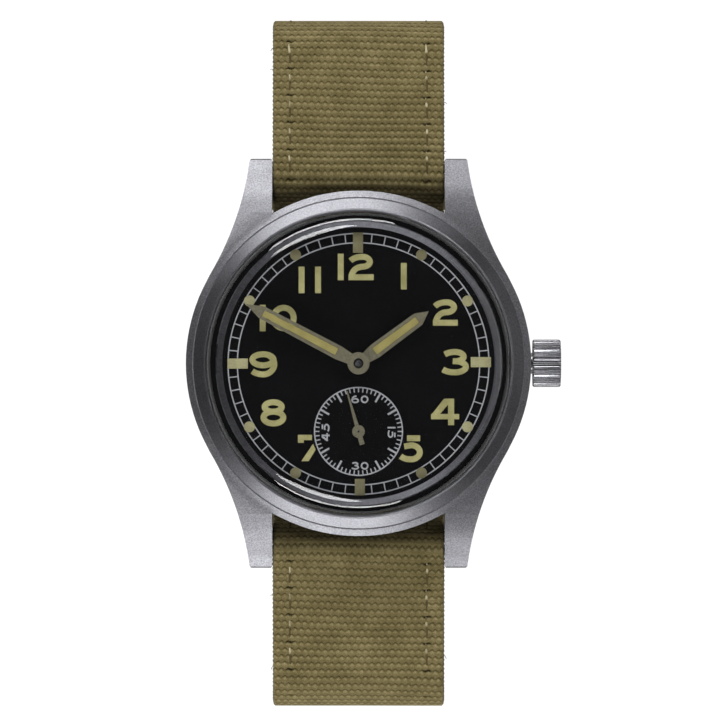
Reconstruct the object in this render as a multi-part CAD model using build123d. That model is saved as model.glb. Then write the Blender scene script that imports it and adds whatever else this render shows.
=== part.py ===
"""Field watch: a round steel case on a one-piece canvas strap that is buckled in a closed loop.

The dial faces +Z, 3 o'clock and the crown lie along +X, 12 o'clock along +Y.
The origin is on the dial's axis, in the plane that the buckled strap stands on.
"""
import os
from math import acos, atan2, cos, degrees, hypot, pi, radians, sin, sqrt, tan

from build123d import *

os.makedirs("parts", exist_ok=True)

# Head of the watch: diameters, widths and heights in millimetres
case_diameter = 36.0
lug_reach = 6.7
lug_tip_width = 2.35
lug_root_y = 9.2
case_height = 6.3
case_foot_step = 2.4
case_flank_height = 1.5
case_cone_height = 3.9
case_top_step = 0.6
bezel_step = 0.1
bezel_width = 1.4
bezel_height = 1.2
bezel_spigot = 0.5
spigot_wall = 0.55
crystal_wall = 1.3
crystal_rise = 2.6
crystal_shoulder = 1.9
dome_fall = 0.95
dial_step = 1.0
dial_ledge = 1.0
dial_thickness = 0.4
back_floor = 0.9
ratchet_gap = 0.3
back_flange_step = 0.3
back_thread_step = 0.8
back_thread_height = 1.3
bar_inset = 1.75
bar_height = 1.7

# Strap, buckle and keepers
strap_width = 18.0
strap_thickness = 1.3
strap_span = 72.0
wrist_height = 25.5
lay_gap = 0.2
shoulder_fall = 14.0
under_rise = 60.0
wall_bend = 4.4
soft_bend = 2.0
keeper_wall = 1.0
fixed_keeper_width = 6.0
sliding_keeper_width = 5.0
keeper_pitch = 19.0
tail_length = 26.0
hole_pitch = 7.0
hole_width = 2.2
hole_length = 4.0
buckle_bar_radius = 0.75
buckle_bar_y = -6.0
buckle_reach = 11.8
buckle_arm = 1.6
buckle_side_gap = 0.45
tongue_width = 1.8
tongue_thickness = 0.8

# Crown and winding works
crown_radius = 2.48
crown_length = 3.0
crown_ridges = 34
stem_radius = 0.5
stem_height = 3.6
crown_travel = 1.0

# Hands and movement
minute_hand_step = 1.7
minute_angle = -62.2
hour_reach_share = 0.6857
hour_angle = 53.5
seconds_reach_share = 0.62
seconds_angle = -16.0
small_seconds_share = 0.5423
hand_hub = 1.15
hand_thickness = 0.15
ring_wall = 0.9

# Clearances and the overrun that cuts share
fit = 0.1
run = 0.05
overrun = 1.0

# Radii in the head, each a step inside the last
case_radius = case_diameter / 2
case_foot_radius = case_radius - case_foot_step
case_top_radius = case_radius - case_top_step
bezel_radius = case_top_radius - bezel_step
crystal_radius = bezel_radius - bezel_width
dial_radius = crystal_radius - dial_step
ring_bore = dial_radius - dial_ledge
movement_radius = ring_bore - ring_wall
back_flange_radius = case_foot_radius - back_flange_step
back_thread_radius = back_flange_radius - back_thread_step
minute_reach = dial_radius - minute_hand_step
hour_reach = minute_reach * hour_reach_share
small_seconds_y = -movement_radius * small_seconds_share
seconds_reach = -small_seconds_y * seconds_reach_share
lug_gap = strap_width
lug_to_lug = case_diameter + lug_reach
bar_y = lug_to_lug / 2 - bar_inset

# Heights in the head, from the outer face of the case back
case_bottom = back_floor
case_top = case_bottom + case_height
bezel_top = case_top + bezel_height
crystal_top = bezel_top + crystal_rise
ratchet_low = case_bottom + ratchet_gap
ratchet_height = 0.3
bridge_low = ratchet_low + ratchet_height + fit
bridge_height = 0.6
train_low = bridge_low + bridge_height
train_height = 1.7
plate_low = train_low + train_height
plate_height = 1.2
plate_top = plate_low + plate_height
motion_height = 0.8
dial_low = plate_top + motion_height
dial_top = dial_low + dial_thickness
crystal_seat = dial_top + fit
bezel_seat = case_top - bezel_spigot
crystal_gasket_height = 0.25
crystal_foot = crystal_seat + crystal_gasket_height
thread_bore = back_thread_radius + fit
bezel_bore = crystal_radius + fit
spigot_radius = bezel_bore + spigot_wall

# Heights of the strap's layers above the plane that it stands on
half_strap = strap_thickness / 2
nose_mid = buckle_arm / 2
tail_mid = keeper_wall + lay_gap + half_strap
tail_nose_mid = buckle_arm + lay_gap + half_strap
short_mid = tail_mid + strap_thickness + lay_gap
fold_radius = buckle_bar_radius + fit + half_strap
buckle_bar_z = short_mid + fold_radius
fold_mid = buckle_bar_z + fold_radius
under_mid = short_mid + strap_thickness + wrist_height
back_level = under_mid + half_strap + lay_gap
wall_mid = strap_span / 2 - half_strap
sleeve_radius = 0.75


def head(shape):
    """Lifts a piece from the case back's own level to its place above the strap."""
    return Pos(0, 0, back_level) * shape


def tube(outer, inner, low, high):
    """A ring or tube about the Z axis."""
    wall = extrude(Circle(outer) - Circle(inner), high - low)
    return Pos(0, 0, low) * wall


def rod(radius, low, high):
    """A round rod about the Z axis."""
    return Pos(0, 0, low) * extrude(Circle(radius), high - low)


def along_x(shape, height):
    """Turns a piece made about the Z axis to lie along +X at a height."""
    return Pos(0, 0, height) * Rot(0, 90, 0) * shape


def turned(points):
    """A solid turned about the Z axis from (radius, height) points."""
    profile = make_face(Plane.XZ * Polyline(*points, close=True))
    return revolve(profile, axis=Axis.Z)


def slab(x_low, x_high, y_low, y_high, z_low, z_high):
    """A block between two corners."""
    block = Box(x_high - x_low, y_high - y_low, z_high - z_low, align=(Align.MIN,) * 3)
    return Pos(x_low, y_low, z_low) * block


def band(points, radii, thickness, width):
    """A strip of even thickness along a bent line in the YZ plane, centred on x = 0."""
    line = FilletPolyline(*points, radius=radii)
    return extrude(Plane.YZ * trace(line, thickness), width / 2, both=True)


# Mid case with its four lugs

bar_hole_radius = 0.45
bar_hole_depth = 1.15
lug_tip_low = 0.1
lug_tip_high = 3.1
lug_edge = 0.3
lug_crown_share = 0.55
tube_radius = 1.1


def lug_side():
    """Side outline of a lug: a falling, slightly crowned top over a flat underside."""
    tip_y = lug_to_lug / 2
    flank_low = case_bottom + case_cone_height
    start = (lug_root_y, flank_low + case_flank_height)
    end = (tip_y, lug_tip_high)
    mid_y = (start[0] + 2 * end[0]) / 3
    crown = lug_crown_share * (start[1] - end[1])
    top = ThreePointArc(start, (mid_y, end[1] + crown), end)
    foot = Polyline(
        end, (tip_y, lug_tip_low), (case_foot_radius, case_bottom), (lug_root_y, flank_low), start)
    return make_face([*top.edges(), *foot.edges()])


def lug_plan():
    """Plan outline of a lug: its flank leaves the round case in a tangent arc."""
    inner = lug_gap / 2
    tip_y = lug_to_lug / 2
    root = (sqrt(case_radius ** 2 - lug_root_y ** 2), lug_root_y)
    tip = (inner + lug_tip_width, tip_y)
    flank = TangentArc(root, tip, tangent=(-root[1], root[0]))
    rest = Polyline(tip, (inner, tip_y), (inner, lug_root_y), root)
    return make_face([*flank.edges(), *rest.edges()])


def make_lug():
    """One lug, at +X and +Y, with softened edges."""
    plan = Pos(0, 0, -overrun) * extrude(lug_plan(), case_top + 2 * overrun)
    side = extrude(Plane.YZ * lug_side(), case_radius)
    lug = plan & side
    tip_edges = lug.edges().filter_by(lambda e: e.center().Y > lug_to_lug / 2 - fit)
    lug = chamfer(tip_edges, lug_edge / 2)
    hole_x = lug_gap / 2 - overrun
    hole = along_x(rod(bar_hole_radius, hole_x, lug_gap / 2 + bar_hole_depth), bar_height)
    return lug - Pos(0, bar_y, 0) * hole


def make_mid_case():
    """Round body with a coned foot, lugs, stepped bore and the crown tube's hole."""
    flank_low = case_bottom + case_cone_height
    body = turned([
        (0, case_bottom), (case_foot_radius, case_bottom), (case_radius, flank_low),
        (case_radius, flank_low + case_flank_height), (case_top_radius, case_top), (0, case_top)])
    lug = make_lug()
    pair = lug + mirror(lug, about=Plane.YZ)
    body = body + pair + mirror(pair, about=Plane.XZ)
    cavity = turned([
        (0, case_bottom - overrun), (thread_bore, case_bottom - overrun),
        (thread_bore, case_bottom + back_thread_height + fit),
        (ring_bore, case_bottom + back_thread_height + fit),
        (ring_bore, dial_low), (dial_radius + fit, dial_low), (dial_radius + fit, crystal_seat),
        (bezel_bore, crystal_seat), (bezel_bore, bezel_seat - run),
        (spigot_radius + run, bezel_seat - run), (spigot_radius + run, case_top + overrun),
        (0, case_top + overrun)])
    seal_groove = tube(back_seal_outer, thread_bore, case_bottom - overrun,
                       case_bottom + back_seal_height)
    crown_hole = along_x(rod(tube_radius, 0, case_diameter), stem_height)
    return body - cavity - seal_groove - crown_hole


# Bezel, crystal, dial and their seals

bezel_lip = 0.35
bezel_slope_rise = 0.75
back_seal_outer = back_thread_radius + 3 * back_thread_step / 4
back_seal_height = 0.4
back_floor_edge = 0.2
back_skirt_wall = 1.0
back_slots = 6
back_slot_width = 2.0
back_slot_length = 1.6
seal_width = 0.8


def make_bezel():
    """Ring with a sloping face, pressed over the case's shoulder by a short spigot."""
    return turned([
        (bezel_bore, bezel_seat), (spigot_radius, bezel_seat), (spigot_radius, case_top),
        (bezel_radius, case_top), (bezel_radius, bezel_top - bezel_slope_rise),
        (bezel_bore + bezel_lip, bezel_top), (bezel_bore, bezel_top)])


def dome_arc(radius, edge_height, top_height):
    """Half of a domed outline in the XZ plane, from its edge to the axis."""
    half_way = radius / 2
    rise = top_height - edge_height
    sphere = (radius ** 2 + rise ** 2) / (2 * rise)
    mid_height = top_height - sphere + sqrt(sphere ** 2 - half_way ** 2)
    return ThreePointArc((radius, edge_height), (half_way, mid_height), (0, top_height))


def make_crystal():
    """High acrylic crystal: an upright skirt, a broad round shoulder and a low dome."""
    shoulder_radius = crystal_radius - crystal_shoulder
    shoulder_high = crystal_top - dome_fall
    shoulder_low = shoulder_high - crystal_shoulder
    inner_radius = crystal_radius - crystal_wall
    inner_edge = shoulder_high - crystal_wall
    blend = crystal_shoulder * (1 - sin(radians(45)))
    shoulder = ThreePointArc(
        (crystal_radius, shoulder_low),
        (crystal_radius - blend, shoulder_high - blend),
        (shoulder_radius, shoulder_high))
    edges = [
        *Line((inner_radius, crystal_foot), (crystal_radius, crystal_foot)).edges(),
        *Line((crystal_radius, crystal_foot), (crystal_radius, shoulder_low)).edges(),
        *shoulder.edges(),
        *dome_arc(shoulder_radius, shoulder_high, crystal_top).edges(),
        *Line((0, crystal_top), (0, crystal_top - crystal_wall)).edges(),
        *dome_arc(inner_radius, inner_edge, crystal_top - crystal_wall).edges(),
        *Line((inner_radius, inner_edge), (inner_radius, crystal_foot)).edges()]
    return revolve(Plane.XZ * make_face(edges), axis=Axis.Z)


def make_dial():
    """Flat dial blank with its two arbor holes."""
    blank = rod(dial_radius, dial_low, dial_top)
    centre_hole = rod(hour_tube_outer + fit, dial_low - overrun, dial_top + overrun)
    seconds_hole = rod(seconds_arbor + fit, dial_low - overrun, dial_top + overrun)
    return blank - centre_hole - Pos(0, small_seconds_y, 0) * seconds_hole


def make_movement_ring():
    """Spacer that holds the movement in the case, with a pass for the stem."""
    low = case_bottom + back_thread_height + 2 * fit
    spacer = tube(ring_bore - run, movement_radius + run, low, dial_low)
    stem_pass = along_x(rod(stem_radius + fit, 0, case_radius), stem_height)
    return spacer - stem_pass


def make_case_back():
    """Screwed back: a flange with key slots and a threaded skirt."""
    skirt_inner = back_thread_radius - back_skirt_wall
    back = turned([
        (0, 0), (back_flange_radius - back_floor_edge, 0), (back_flange_radius, back_floor_edge),
        (back_flange_radius, back_floor), (back_thread_radius, back_floor),
        (back_thread_radius, back_floor + back_thread_height),
        (skirt_inner, back_floor + back_thread_height), (skirt_inner, back_floor), (0, back_floor)])
    slot = slab(back_flange_radius - back_slot_length, back_flange_radius + overrun,
                -back_slot_width / 2, back_slot_width / 2, -overrun, back_floor / 2)
    for number in range(back_slots):
        back = back - Rot(0, 0, (number + 0.5) * 360 / back_slots) * slot
    return back


def make_back_gasket():
    """Flat seal in the groove of the case's foot."""
    return tube(
        back_seal_outer - run, thread_bore + run, case_bottom, case_bottom + back_seal_height - run)


def make_crystal_gasket():
    """Flat seal under the crystal's foot."""
    return tube(crystal_radius - run, crystal_radius - run - seal_width, crystal_seat, crystal_foot)


# Spring bars between the lugs

bar_pin_radius = 0.5
bar_tip_radius = 0.4
bar_pin_length = 3.5
bar_tip_length = 1.0
bar_travel = 1.2


def make_bar_sleeve(side):
    """Outer sleeve of a spring bar; side is 1 above the dial and -1 below it."""
    half = lug_gap / 2 - 2 * fit - bar_travel / 4
    sleeve = tube(sleeve_radius, bar_pin_radius + run, -half, half)
    return Pos(0, side * bar_y, 0) * along_x(sleeve, bar_height)


def make_bar_pin(side, hand):
    """Sprung pin of a spring bar; hand is 1 at 3 o'clock and -1 at 9 o'clock."""
    face = lug_gap / 2
    pin = rod(bar_pin_radius, face - bar_pin_length, face - fit)
    pin = pin + rod(bar_tip_radius, face - fit, face + bar_tip_length)
    pin = along_x(pin, bar_height)
    if hand < 0:
        pin = mirror(pin, about=Plane.YZ)
    return Pos(0, side * bar_y, 0) * pin


# Strap

slot_margin = 0.4
strap_tip_share = 0.4
fold_layer_length = 18.0
fold_ramp = 4.0


def bar_corner(side):
    """Corner of the strap's mid line over a spring bar, at radius bar_wrap."""
    fall = radians(shoulder_fall)
    rise = radians(under_rise)
    outward = (sin(fall), cos(fall))
    inward = (-sin(rise), cos(rise))
    share = bar_wrap / (1 + outward[0] * inward[0] + outward[1] * inward[1])
    y = bar_y + share * (outward[0] + inward[0])
    z = back_level + bar_height + share * (outward[1] + inward[1])
    return side * y, z


bar_wrap = sleeve_radius + lay_gap + half_strap


def strap_line():
    """Points and bend radii of the strap's mid line, from the buckle bar round to the tail."""
    corner_y, corner_z = bar_corner(1)
    wall_top = corner_z - (wall_mid - corner_y) * tan(radians(shoulder_fall))
    under_y = corner_y - (corner_z - under_mid) / tan(radians(under_rise))
    ramp_start = buckle_bar_y - fold_radius - fold_ramp
    points = [
        (buckle_bar_y, short_mid), (wall_mid, short_mid), (wall_mid, wall_top),
        (corner_y, corner_z), (under_y, under_mid), (-under_y, under_mid),
        (-corner_y, corner_z), (-wall_mid, wall_top), (-wall_mid, tail_nose_mid),
        (ramp_start - fold_ramp, tail_nose_mid), (ramp_start + fold_ramp, tail_mid), (tail_length, tail_mid)]
    radii = [wall_bend, wall_bend, bar_wrap, soft_bend, soft_bend,
             bar_wrap, wall_bend, wall_bend, wall_bend, wall_bend]
    return points, radii


def hole_cut(y, low, high):
    """Long hole for the tongue, square to the tail."""
    outline = SlotOverall(hole_length, hole_width, rotation=90)
    return Pos(0, y, low) * extrude(outline, high - low)


def make_strap():
    """One-piece canvas strap: short end folded round the buckle bar, long end through the keepers."""
    points, radii = strap_line()
    strap = band(points, radii, strap_thickness, strap_width)
    wrap = CenterArc((buckle_bar_y, buckle_bar_z), fold_radius, 90, 180)
    strap = strap + extrude(Plane.YZ * trace(wrap, strap_thickness), strap_width / 2, both=True)
    keeper_clear = fixed_keeper_width / 2 + 2 * fit
    fold_end = buckle_bar_y + fold_layer_length
    lying = short_mid + strap_thickness
    fold = band(
        [(buckle_bar_y, fold_mid), (keeper_clear + fold_ramp / 4, fold_mid),
         (keeper_clear + fold_ramp * 5 / 4, lying), (fold_end, lying)],
        [half_strap, half_strap], strap_thickness, strap_width)
    strap = strap + fold
    tip = strap.edges().filter_by(Axis.Z).filter_by(
        lambda e: e.center().Z < short_mid - half_strap and e.center().Y > tail_length - fit)
    strap = fillet(tip, strap_width * strap_tip_share)
    slot_half = tongue_width / 2 + slot_margin
    strap = strap - slab(
        -slot_half, slot_half, buckle_bar_y - fold_radius - strap_thickness, buckle_bar_y + fold_radius,
        short_mid - half_strap - lay_gap / 2, fold_mid + strap_thickness)
    for number in range(-2, 4):
        y = tongue_hole_y + number * hole_pitch
        clear_of_fold = y < buckle_bar_y - fold_radius
        high = tail_nose_mid + strap_thickness if clear_of_fold else short_mid - half_strap - lay_gap / 2
        strap = strap - hole_cut(y, tail_mid - strap_thickness, high)
    return strap


# Buckle and keepers

ear_radius = 1.5
tongue_ring = 1.35
tongue_hole_step = 4.9
tongue_bend_steps = (1.4, 1.7)
arm_knee_step = 8.0
nose_bar = 1.92
notch_depth = tongue_thickness + run
tongue_hole_y = buckle_bar_y - tongue_hole_step
nose_end = buckle_bar_y - buckle_reach
arm_knee_y = buckle_bar_y - arm_knee_step


def make_buckle_frame():
    """U-shaped frame: two falling arms with ears for the bar, and a notched nose."""
    inner = strap_width / 2 + buckle_side_gap
    outer = inner + buckle_arm
    frame = band([(buckle_bar_y, buckle_bar_z), (arm_knee_y, nose_mid), (nose_end, nose_mid)],
                 [wall_bend], buckle_arm, 2 * outer)
    ears = along_x(rod(ear_radius, -outer, outer), buckle_bar_z)
    frame = frame + Pos(0, buckle_bar_y, 0) * ears
    corners = frame.edges().filter_by(Axis.Z).filter_by(lambda e: e.center().Y < nose_end + fit)
    frame = fillet(corners, buckle_arm)
    window = slab(-inner, inner, nose_end + nose_bar, buckle_bar_y + ear_radius + overrun,
                  -overrun, buckle_bar_z + ear_radius + overrun)
    notch_half = tongue_width / 2 + 2 * fit
    notch = slab(-notch_half, notch_half, nose_end - overrun, nose_end + 2 * buckle_arm,
                 -overrun, notch_depth)
    bar_hole = along_x(rod(buckle_bar_radius, -outer - overrun, outer + overrun), buckle_bar_z)
    return frame - window - notch - Pos(0, buckle_bar_y, 0) * bar_hole


def make_buckle_bar():
    """Straight bar through the frame's ears."""
    half = strap_width / 2 + buckle_side_gap + buckle_arm
    bar = along_x(rod(buckle_bar_radius, -half, half), buckle_bar_z)
    return Pos(0, buckle_bar_y, 0) * bar


def make_buckle_tongue():
    """Tongue: an eye round the bar and a bent shank through the hole to the nose."""
    low = run + tongue_thickness / 2
    near_bend, far_bend = tongue_bend_steps
    shank = band(
        [(buckle_bar_y, buckle_bar_z), (tongue_hole_y + near_bend, buckle_bar_z - tongue_thickness),
         (tongue_hole_y - far_bend, low), (nose_end + run, low)],
        [tongue_thickness, tongue_thickness], tongue_thickness, tongue_width)
    eye = along_x(rod(tongue_ring, -tongue_width / 2, tongue_width / 2), buckle_bar_z)
    bore = along_x(rod(buckle_bar_radius + run, -tongue_width, tongue_width), buckle_bar_z)
    return shank + Pos(0, buckle_bar_y, 0) * eye - Pos(0, buckle_bar_y, 0) * bore


def make_keeper(middle, width):
    """Flat loop round the tail and the short end, centred at y = middle."""
    inner_half = strap_width / 2 + buckle_side_gap / 2
    inner_top = short_mid + half_strap + 2 * fit
    outer_half = inner_half + keeper_wall
    loop = Pos(0, (inner_top + keeper_wall) / 2) * RectangleRounded(
        2 * outer_half, inner_top + keeper_wall, keeper_wall)
    opening = Pos(0, (inner_top + keeper_wall) / 2) * Rectangle(2 * inner_half, inner_top - keeper_wall)
    ring = extrude(Plane.XZ * (loop - opening), width / 2, both=True)
    return Pos(0, middle, 0) * ring


# Crown and stem

crown_gap = 0.15
crown_face = case_radius + crown_gap
crown_chamfer = 0.4
ridge_shares = ((0.0, 0.0), (0.35, 0.0), (0.675, 1.0))
ridge_depth = 0.16
crown_cavity_depth = 1.5
crown_cavity_radius = 1.75


def make_crown():
    """Ridged crown with a cavity that runs over the tube."""
    step = 360 / crown_ridges
    points = []
    for number in range(crown_ridges):
        for turn_share, depth_share in ridge_shares:
            angle = radians((number + turn_share) * step)
            radius = crown_radius - depth_share * ridge_depth
            points.append((radius * cos(angle), radius * sin(angle)))
    body = extrude(make_face(Polyline(*points, close=True)), crown_length)
    cone_top = crown_length + crown_radius - crown_chamfer - ridge_depth
    limit = turned([(0, 0), (crown_radius - ridge_depth, 0), (crown_radius + ridge_depth, 2 * ridge_depth),
                    (crown_radius + ridge_depth, cone_top - crown_radius - ridge_depth),
                    (cone_top - crown_length, crown_length), (0, crown_length)])
    body = body & limit
    body = body - rod(crown_cavity_radius, -overrun, crown_cavity_depth)
    return Pos(crown_face, 0, 0) * along_x(body, stem_height)


def make_crown_tube():
    """Tube pressed into the case, that the stem runs through."""
    inner_end = ring_bore + 2 * fit
    outer_end = crown_face + crown_cavity_depth - 2 * fit
    return along_x(tube(tube_radius, stem_radius + fit, inner_end, outer_end), stem_height)


def make_crown_gasket():
    """Seal inside the crown, that rubs on the tube."""
    seal = tube(crown_cavity_radius - run, tube_radius + run, 0, crown_travel / 2)
    return Pos(crown_face + fit, 0, 0) * along_x(seal, stem_height)


stem_waist = 0.3
stem_pivot_length = 1.0
groove_width = 0.5


def make_winding_stem():
    """Stem from the crown to its pivot in the plate, with a groove for the setting lever."""
    outer_end = crown_face + crown_cavity_depth
    inner_end = block_inner + 2 * fit
    groove_low = movement_radius - stem_pivot_length - 2 * groove_width
    stem = rod(stem_radius, inner_end + stem_pivot_length, outer_end)
    stem = stem + rod(stem_waist, inner_end, inner_end + stem_pivot_length)
    groove = tube(stem_radius + overrun, stem_waist, groove_low, groove_low + groove_width)
    return along_x(stem - groove, stem_height)


# Toothed wheels

wheel_height = 0.2
tooth_share = 0.8
root_share = 1.25
rim_share = 2.2
hub_share = 0.28
arm_share = 0.16
window_bow_share = 0.2


def toothed(teeth, pitch_radius, phase, low, high, bore=0.0, windows=0):
    """Flat wheel with pointed teeth; phase is the angle of one tooth's tip, in degrees."""
    depth = tooth_share * pitch_radius * 2 / teeth
    points = []
    for number in range(teeth):
        for share, radius in ((0, pitch_radius + depth), (1 / 2, pitch_radius - depth * root_share)):
            angle = radians(phase + (number + share) * 360 / teeth)
            points.append((radius * cos(angle), radius * sin(angle)))
    outline = make_face(Polyline(*points, close=True))
    if bore:
        outline = outline - Circle(bore)
    if windows:
        rim_radius = pitch_radius - rim_share * depth
        outline = outline - wheel_windows(windows, rim_radius, pitch_radius * hub_share)
    return Pos(0, 0, low) * extrude(outline, high - low)


def wheel_windows(count, rim_radius, hub_radius):
    """Openings between the arms of a wheel."""
    windows = Sketch()
    step = 360 / count
    near = window_bow_share + arm_share
    for number in range(count):
        points = []
        for radius, shares in ((hub_radius, (1 - near, near)),
                               (rim_radius, (arm_share / 2, near, 1 - near, 1 - arm_share / 2))):
            for share in shares:
                angle = radians((number + share) * step)
                points.append((radius * cos(angle), radius * sin(angle)))
        windows = windows + make_face(Polyline(*points, close=True))
    return windows


def arbor(radius, pivot, low, high, reach):
    """Round arbor with a thinner pivot at each end."""
    return rod(radius, low, high) + rod(pivot, low - reach, high + reach)


def at(place, shape):
    """Moves a piece from the Z axis to a place on the plate."""
    return Pos(place[0], place[1], 0) * shape


def facing(here, there):
    """Angle in degrees from one place on the plate to another."""
    return degrees(atan2(there[1] - here[1], there[0] - here[0]))


def meshing(teeth, here, there):
    """Phase that leaves a gap between teeth toward the other wheel."""
    return facing(here, there) + 180 / teeth


# Places of the movement's arbors

going_module_share = 1 / 65
third_module_share = 0.9
fourth_module_share = 0.7
winding_module_share = 1.2
motion_module_share = 0.8
going_module = movement_radius * going_module_share
third_module = going_module * third_module_share
fourth_module = going_module * fourth_module_share
winding_module = going_module * winding_module_share
motion_module = going_module * motion_module_share
barrel_teeth, centre_leaves = 54, 9
centre_teeth, third_leaves = 48, 6
third_teeth, fourth_leaves = 45, 6
fourth_teeth, escape_leaves = 60, 6
ratchet_teeth, crown_wheel_teeth, winding_teeth = 36, 24, 15
cannon_teeth, minute_teeth = 10, 30
minute_leaves, hour_teeth = 8, 32
escape_teeth = 15


def reach_of(module, *teeth):
    """Distance between arbors, or a pitch radius for one wheel."""
    return module * sum(teeth) / 2


def third_corner(distance, from_first, from_second):
    """Angle at the first place of a triangle with three known sides."""
    cosine = (distance ** 2 + from_first ** 2 - from_second ** 2) / (2 * distance * from_first)
    return acos(cosine)


winding_share = 0.823
escape_share = 0.1538
fork_share = 0.2615
escape_line = radians(150)
minute_line = radians(25)
centre = (0.0, 0.0)
winding_pinion_x = movement_radius * winding_share
crown_wheel_x = winding_pinion_x - reach_of(winding_module, crown_wheel_teeth)
barrel_reach = reach_of(going_module, barrel_teeth, centre_leaves)
barrel_turn = third_corner(
    crown_wheel_x, barrel_reach, reach_of(winding_module, ratchet_teeth, crown_wheel_teeth))
barrel_place = (barrel_reach * cos(barrel_turn), barrel_reach * sin(barrel_turn))
crown_wheel_place = (crown_wheel_x, 0.0)
fourth_place = (0.0, small_seconds_y)
third_reach = reach_of(going_module, centre_teeth, third_leaves)
third_turn = third_corner(
    -small_seconds_y, third_reach, reach_of(third_module, third_teeth, fourth_leaves))
third_place = (third_reach * sin(third_turn), -third_reach * cos(third_turn))
escape_step = reach_of(fourth_module, fourth_teeth, escape_leaves)
escape_radius = movement_radius * escape_share
escape_place = (escape_step * cos(escape_line), small_seconds_y + escape_step * sin(escape_line))
pallet_step = escape_radius / cos(radians(30))
pallet_place = (escape_place[0] + pallet_step * cos(escape_line),
                escape_place[1] + pallet_step * sin(escape_line))
fork_length = movement_radius * fork_share
balance_place = (pallet_place[0] + fork_length * cos(escape_line),
                 pallet_place[1] + fork_length * sin(escape_line))
minute_step = reach_of(motion_module, cannon_teeth, minute_teeth)
minute_place = (minute_step * cos(minute_line), minute_step * sin(minute_line))

# Planes of the train, from the bridges up to the plate

centre_rise = 0.15
fourth_rise = 0.55
third_rise = 0.9
escape_rise = 1.15
balance_rise = 0.2
balance_thickness = 0.35
barrel_wall = 0.25
barrel_drum_share = 0.377
centre_plane = train_low + centre_rise
barrel_low = centre_plane + wheel_height + fit
barrel_high = plate_low - fit
fourth_plane = train_low + fourth_rise
third_plane = train_low + third_rise
escape_plane = train_low + escape_rise
balance_low = train_low + balance_rise
balance_high = balance_low + balance_thickness
barrel_drum = movement_radius * barrel_drum_share
arbor_radius = 0.2
pivot_radius = 0.12
pivot_reach = 0.3
seconds_arbor = 0.15
centre_arbor = 0.35
cannon_tube = 0.55
hour_tube_inner = cannon_tube + run
hour_tube_outer = 0.85
seconds_hand_rise = 0.3
hour_hand_rise = 0.65
minute_hand_rise = 1.15
seconds_hand_low = dial_top + seconds_hand_rise
hour_hand_low = dial_top + hour_hand_rise
minute_hand_low = dial_top + minute_hand_rise
tooth_height = 0.5
mainspring_gap = 0.3
mainspring_turns = 7
mainspring_steps = 14


def make_barrel():
    """Open drum with the great wheel's teeth on its rim."""
    radius = reach_of(going_module, barrel_teeth)
    phase = facing(barrel_place, centre)
    ring = toothed(barrel_teeth, radius, phase, barrel_high - tooth_height, barrel_high)
    drum = rod(barrel_drum, barrel_low, barrel_high - tooth_height)
    hollow = rod(barrel_drum - barrel_wall, barrel_low + barrel_wall, barrel_high - barrel_wall)
    bore = rod(centre_arbor + run, barrel_low - overrun, barrel_high + overrun)
    return at(barrel_place, ring + drum - hollow - bore)


def spiral_strip(inner, outer, turns, steps, thickness, low, high):
    """A flat spring wound evenly from an inner to an outer radius."""
    sides = []
    for offset in (-thickness / 2, thickness / 2):
        side = []
        for number in range(turns * steps + 1):
            share = number / (turns * steps)
            radius = inner + (outer - inner) * share + offset
            angle = 2 * pi * turns * share
            side.append((radius * cos(angle), radius * sin(angle)))
        sides.append(side)
    outline = make_face(Polyline(*sides[0], *reversed(sides[1]), close=True))
    return Pos(0, 0, low) * extrude(outline, high - low)


def make_mainspring():
    """Spring wound inside the drum."""
    spring = spiral_strip(
        centre_arbor + mainspring_gap, barrel_drum - 2 * mainspring_gap, mainspring_turns, mainspring_steps,
        mainspring_gap / 2, barrel_low + mainspring_gap, barrel_high - mainspring_gap)
    return at(barrel_place, spring)


def make_barrel_arbor():
    """Arbor that the mainspring is wound by, square under the ratchet wheel."""
    shaft = arbor(centre_arbor, arbor_radius, ratchet_low, plate_low - run, 0)
    return at(barrel_place, shaft + rod(arbor_radius, plate_low - run, plate_low + pivot_reach))


def make_ratchet_wheel():
    """Ratchet wheel on the barrel arbor, outside the barrel bridge."""
    phase = facing(barrel_place, crown_wheel_place)
    wheel = toothed(ratchet_teeth, reach_of(winding_module, ratchet_teeth), phase,
                    ratchet_low, ratchet_low + ratchet_height, bore=centre_arbor + run / 5)
    return at(barrel_place, wheel)


def make_crown_wheel():
    """Crown wheel, turned by the winding pinion and meshing with the ratchet wheel."""
    phase = meshing(crown_wheel_teeth, crown_wheel_place, barrel_place)
    wheel = toothed(crown_wheel_teeth, reach_of(winding_module, crown_wheel_teeth), phase,
                    ratchet_low, crown_wheel_high, bore=crown_wheel_post + run)
    return at(crown_wheel_place, wheel)


crown_wheel_post = 0.6
crown_wheel_high = bridge_low + fit
winding_pitch_radius = 1.75
sliding_radius = 1.3
sliding_width = 1.1
winding_width = 0.9


def make_winding_pinion():
    """Pinion on the stem that drives the crown wheel."""
    pinion = toothed(winding_teeth, winding_pitch_radius, 90, -winding_width / 2, winding_width / 2,
                     bore=stem_radius + run)
    return Pos(winding_pinion_x, 0, 0) * along_x(pinion, stem_height)


def make_sliding_pinion():
    """Clutch on the stem, beside the winding pinion."""
    high = winding_pinion_x - winding_width / 2 - fit
    pinion = toothed(winding_teeth, sliding_radius, 90, high - sliding_width, high, bore=stem_radius + run)
    return along_x(pinion, stem_height)


def train_wheel(teeth, module, place, pinion_place, low, bore):
    """Brass wheel of the going train, with a tooth pointing at the pinion it drives."""
    wheel = toothed(teeth, reach_of(module, teeth), facing(place, pinion_place), low,
                    low + wheel_height, bore=bore, windows=5)
    return at(place, wheel)


def train_pinion(leaves, module, place, wheel_place, low, high, bore):
    """Steel pinion, with a gap toward the wheel that drives it."""
    leaf = toothed(leaves, reach_of(module, leaves), meshing(leaves, place, wheel_place), low, high,
                   bore=bore)
    return at(place, leaf)


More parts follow.
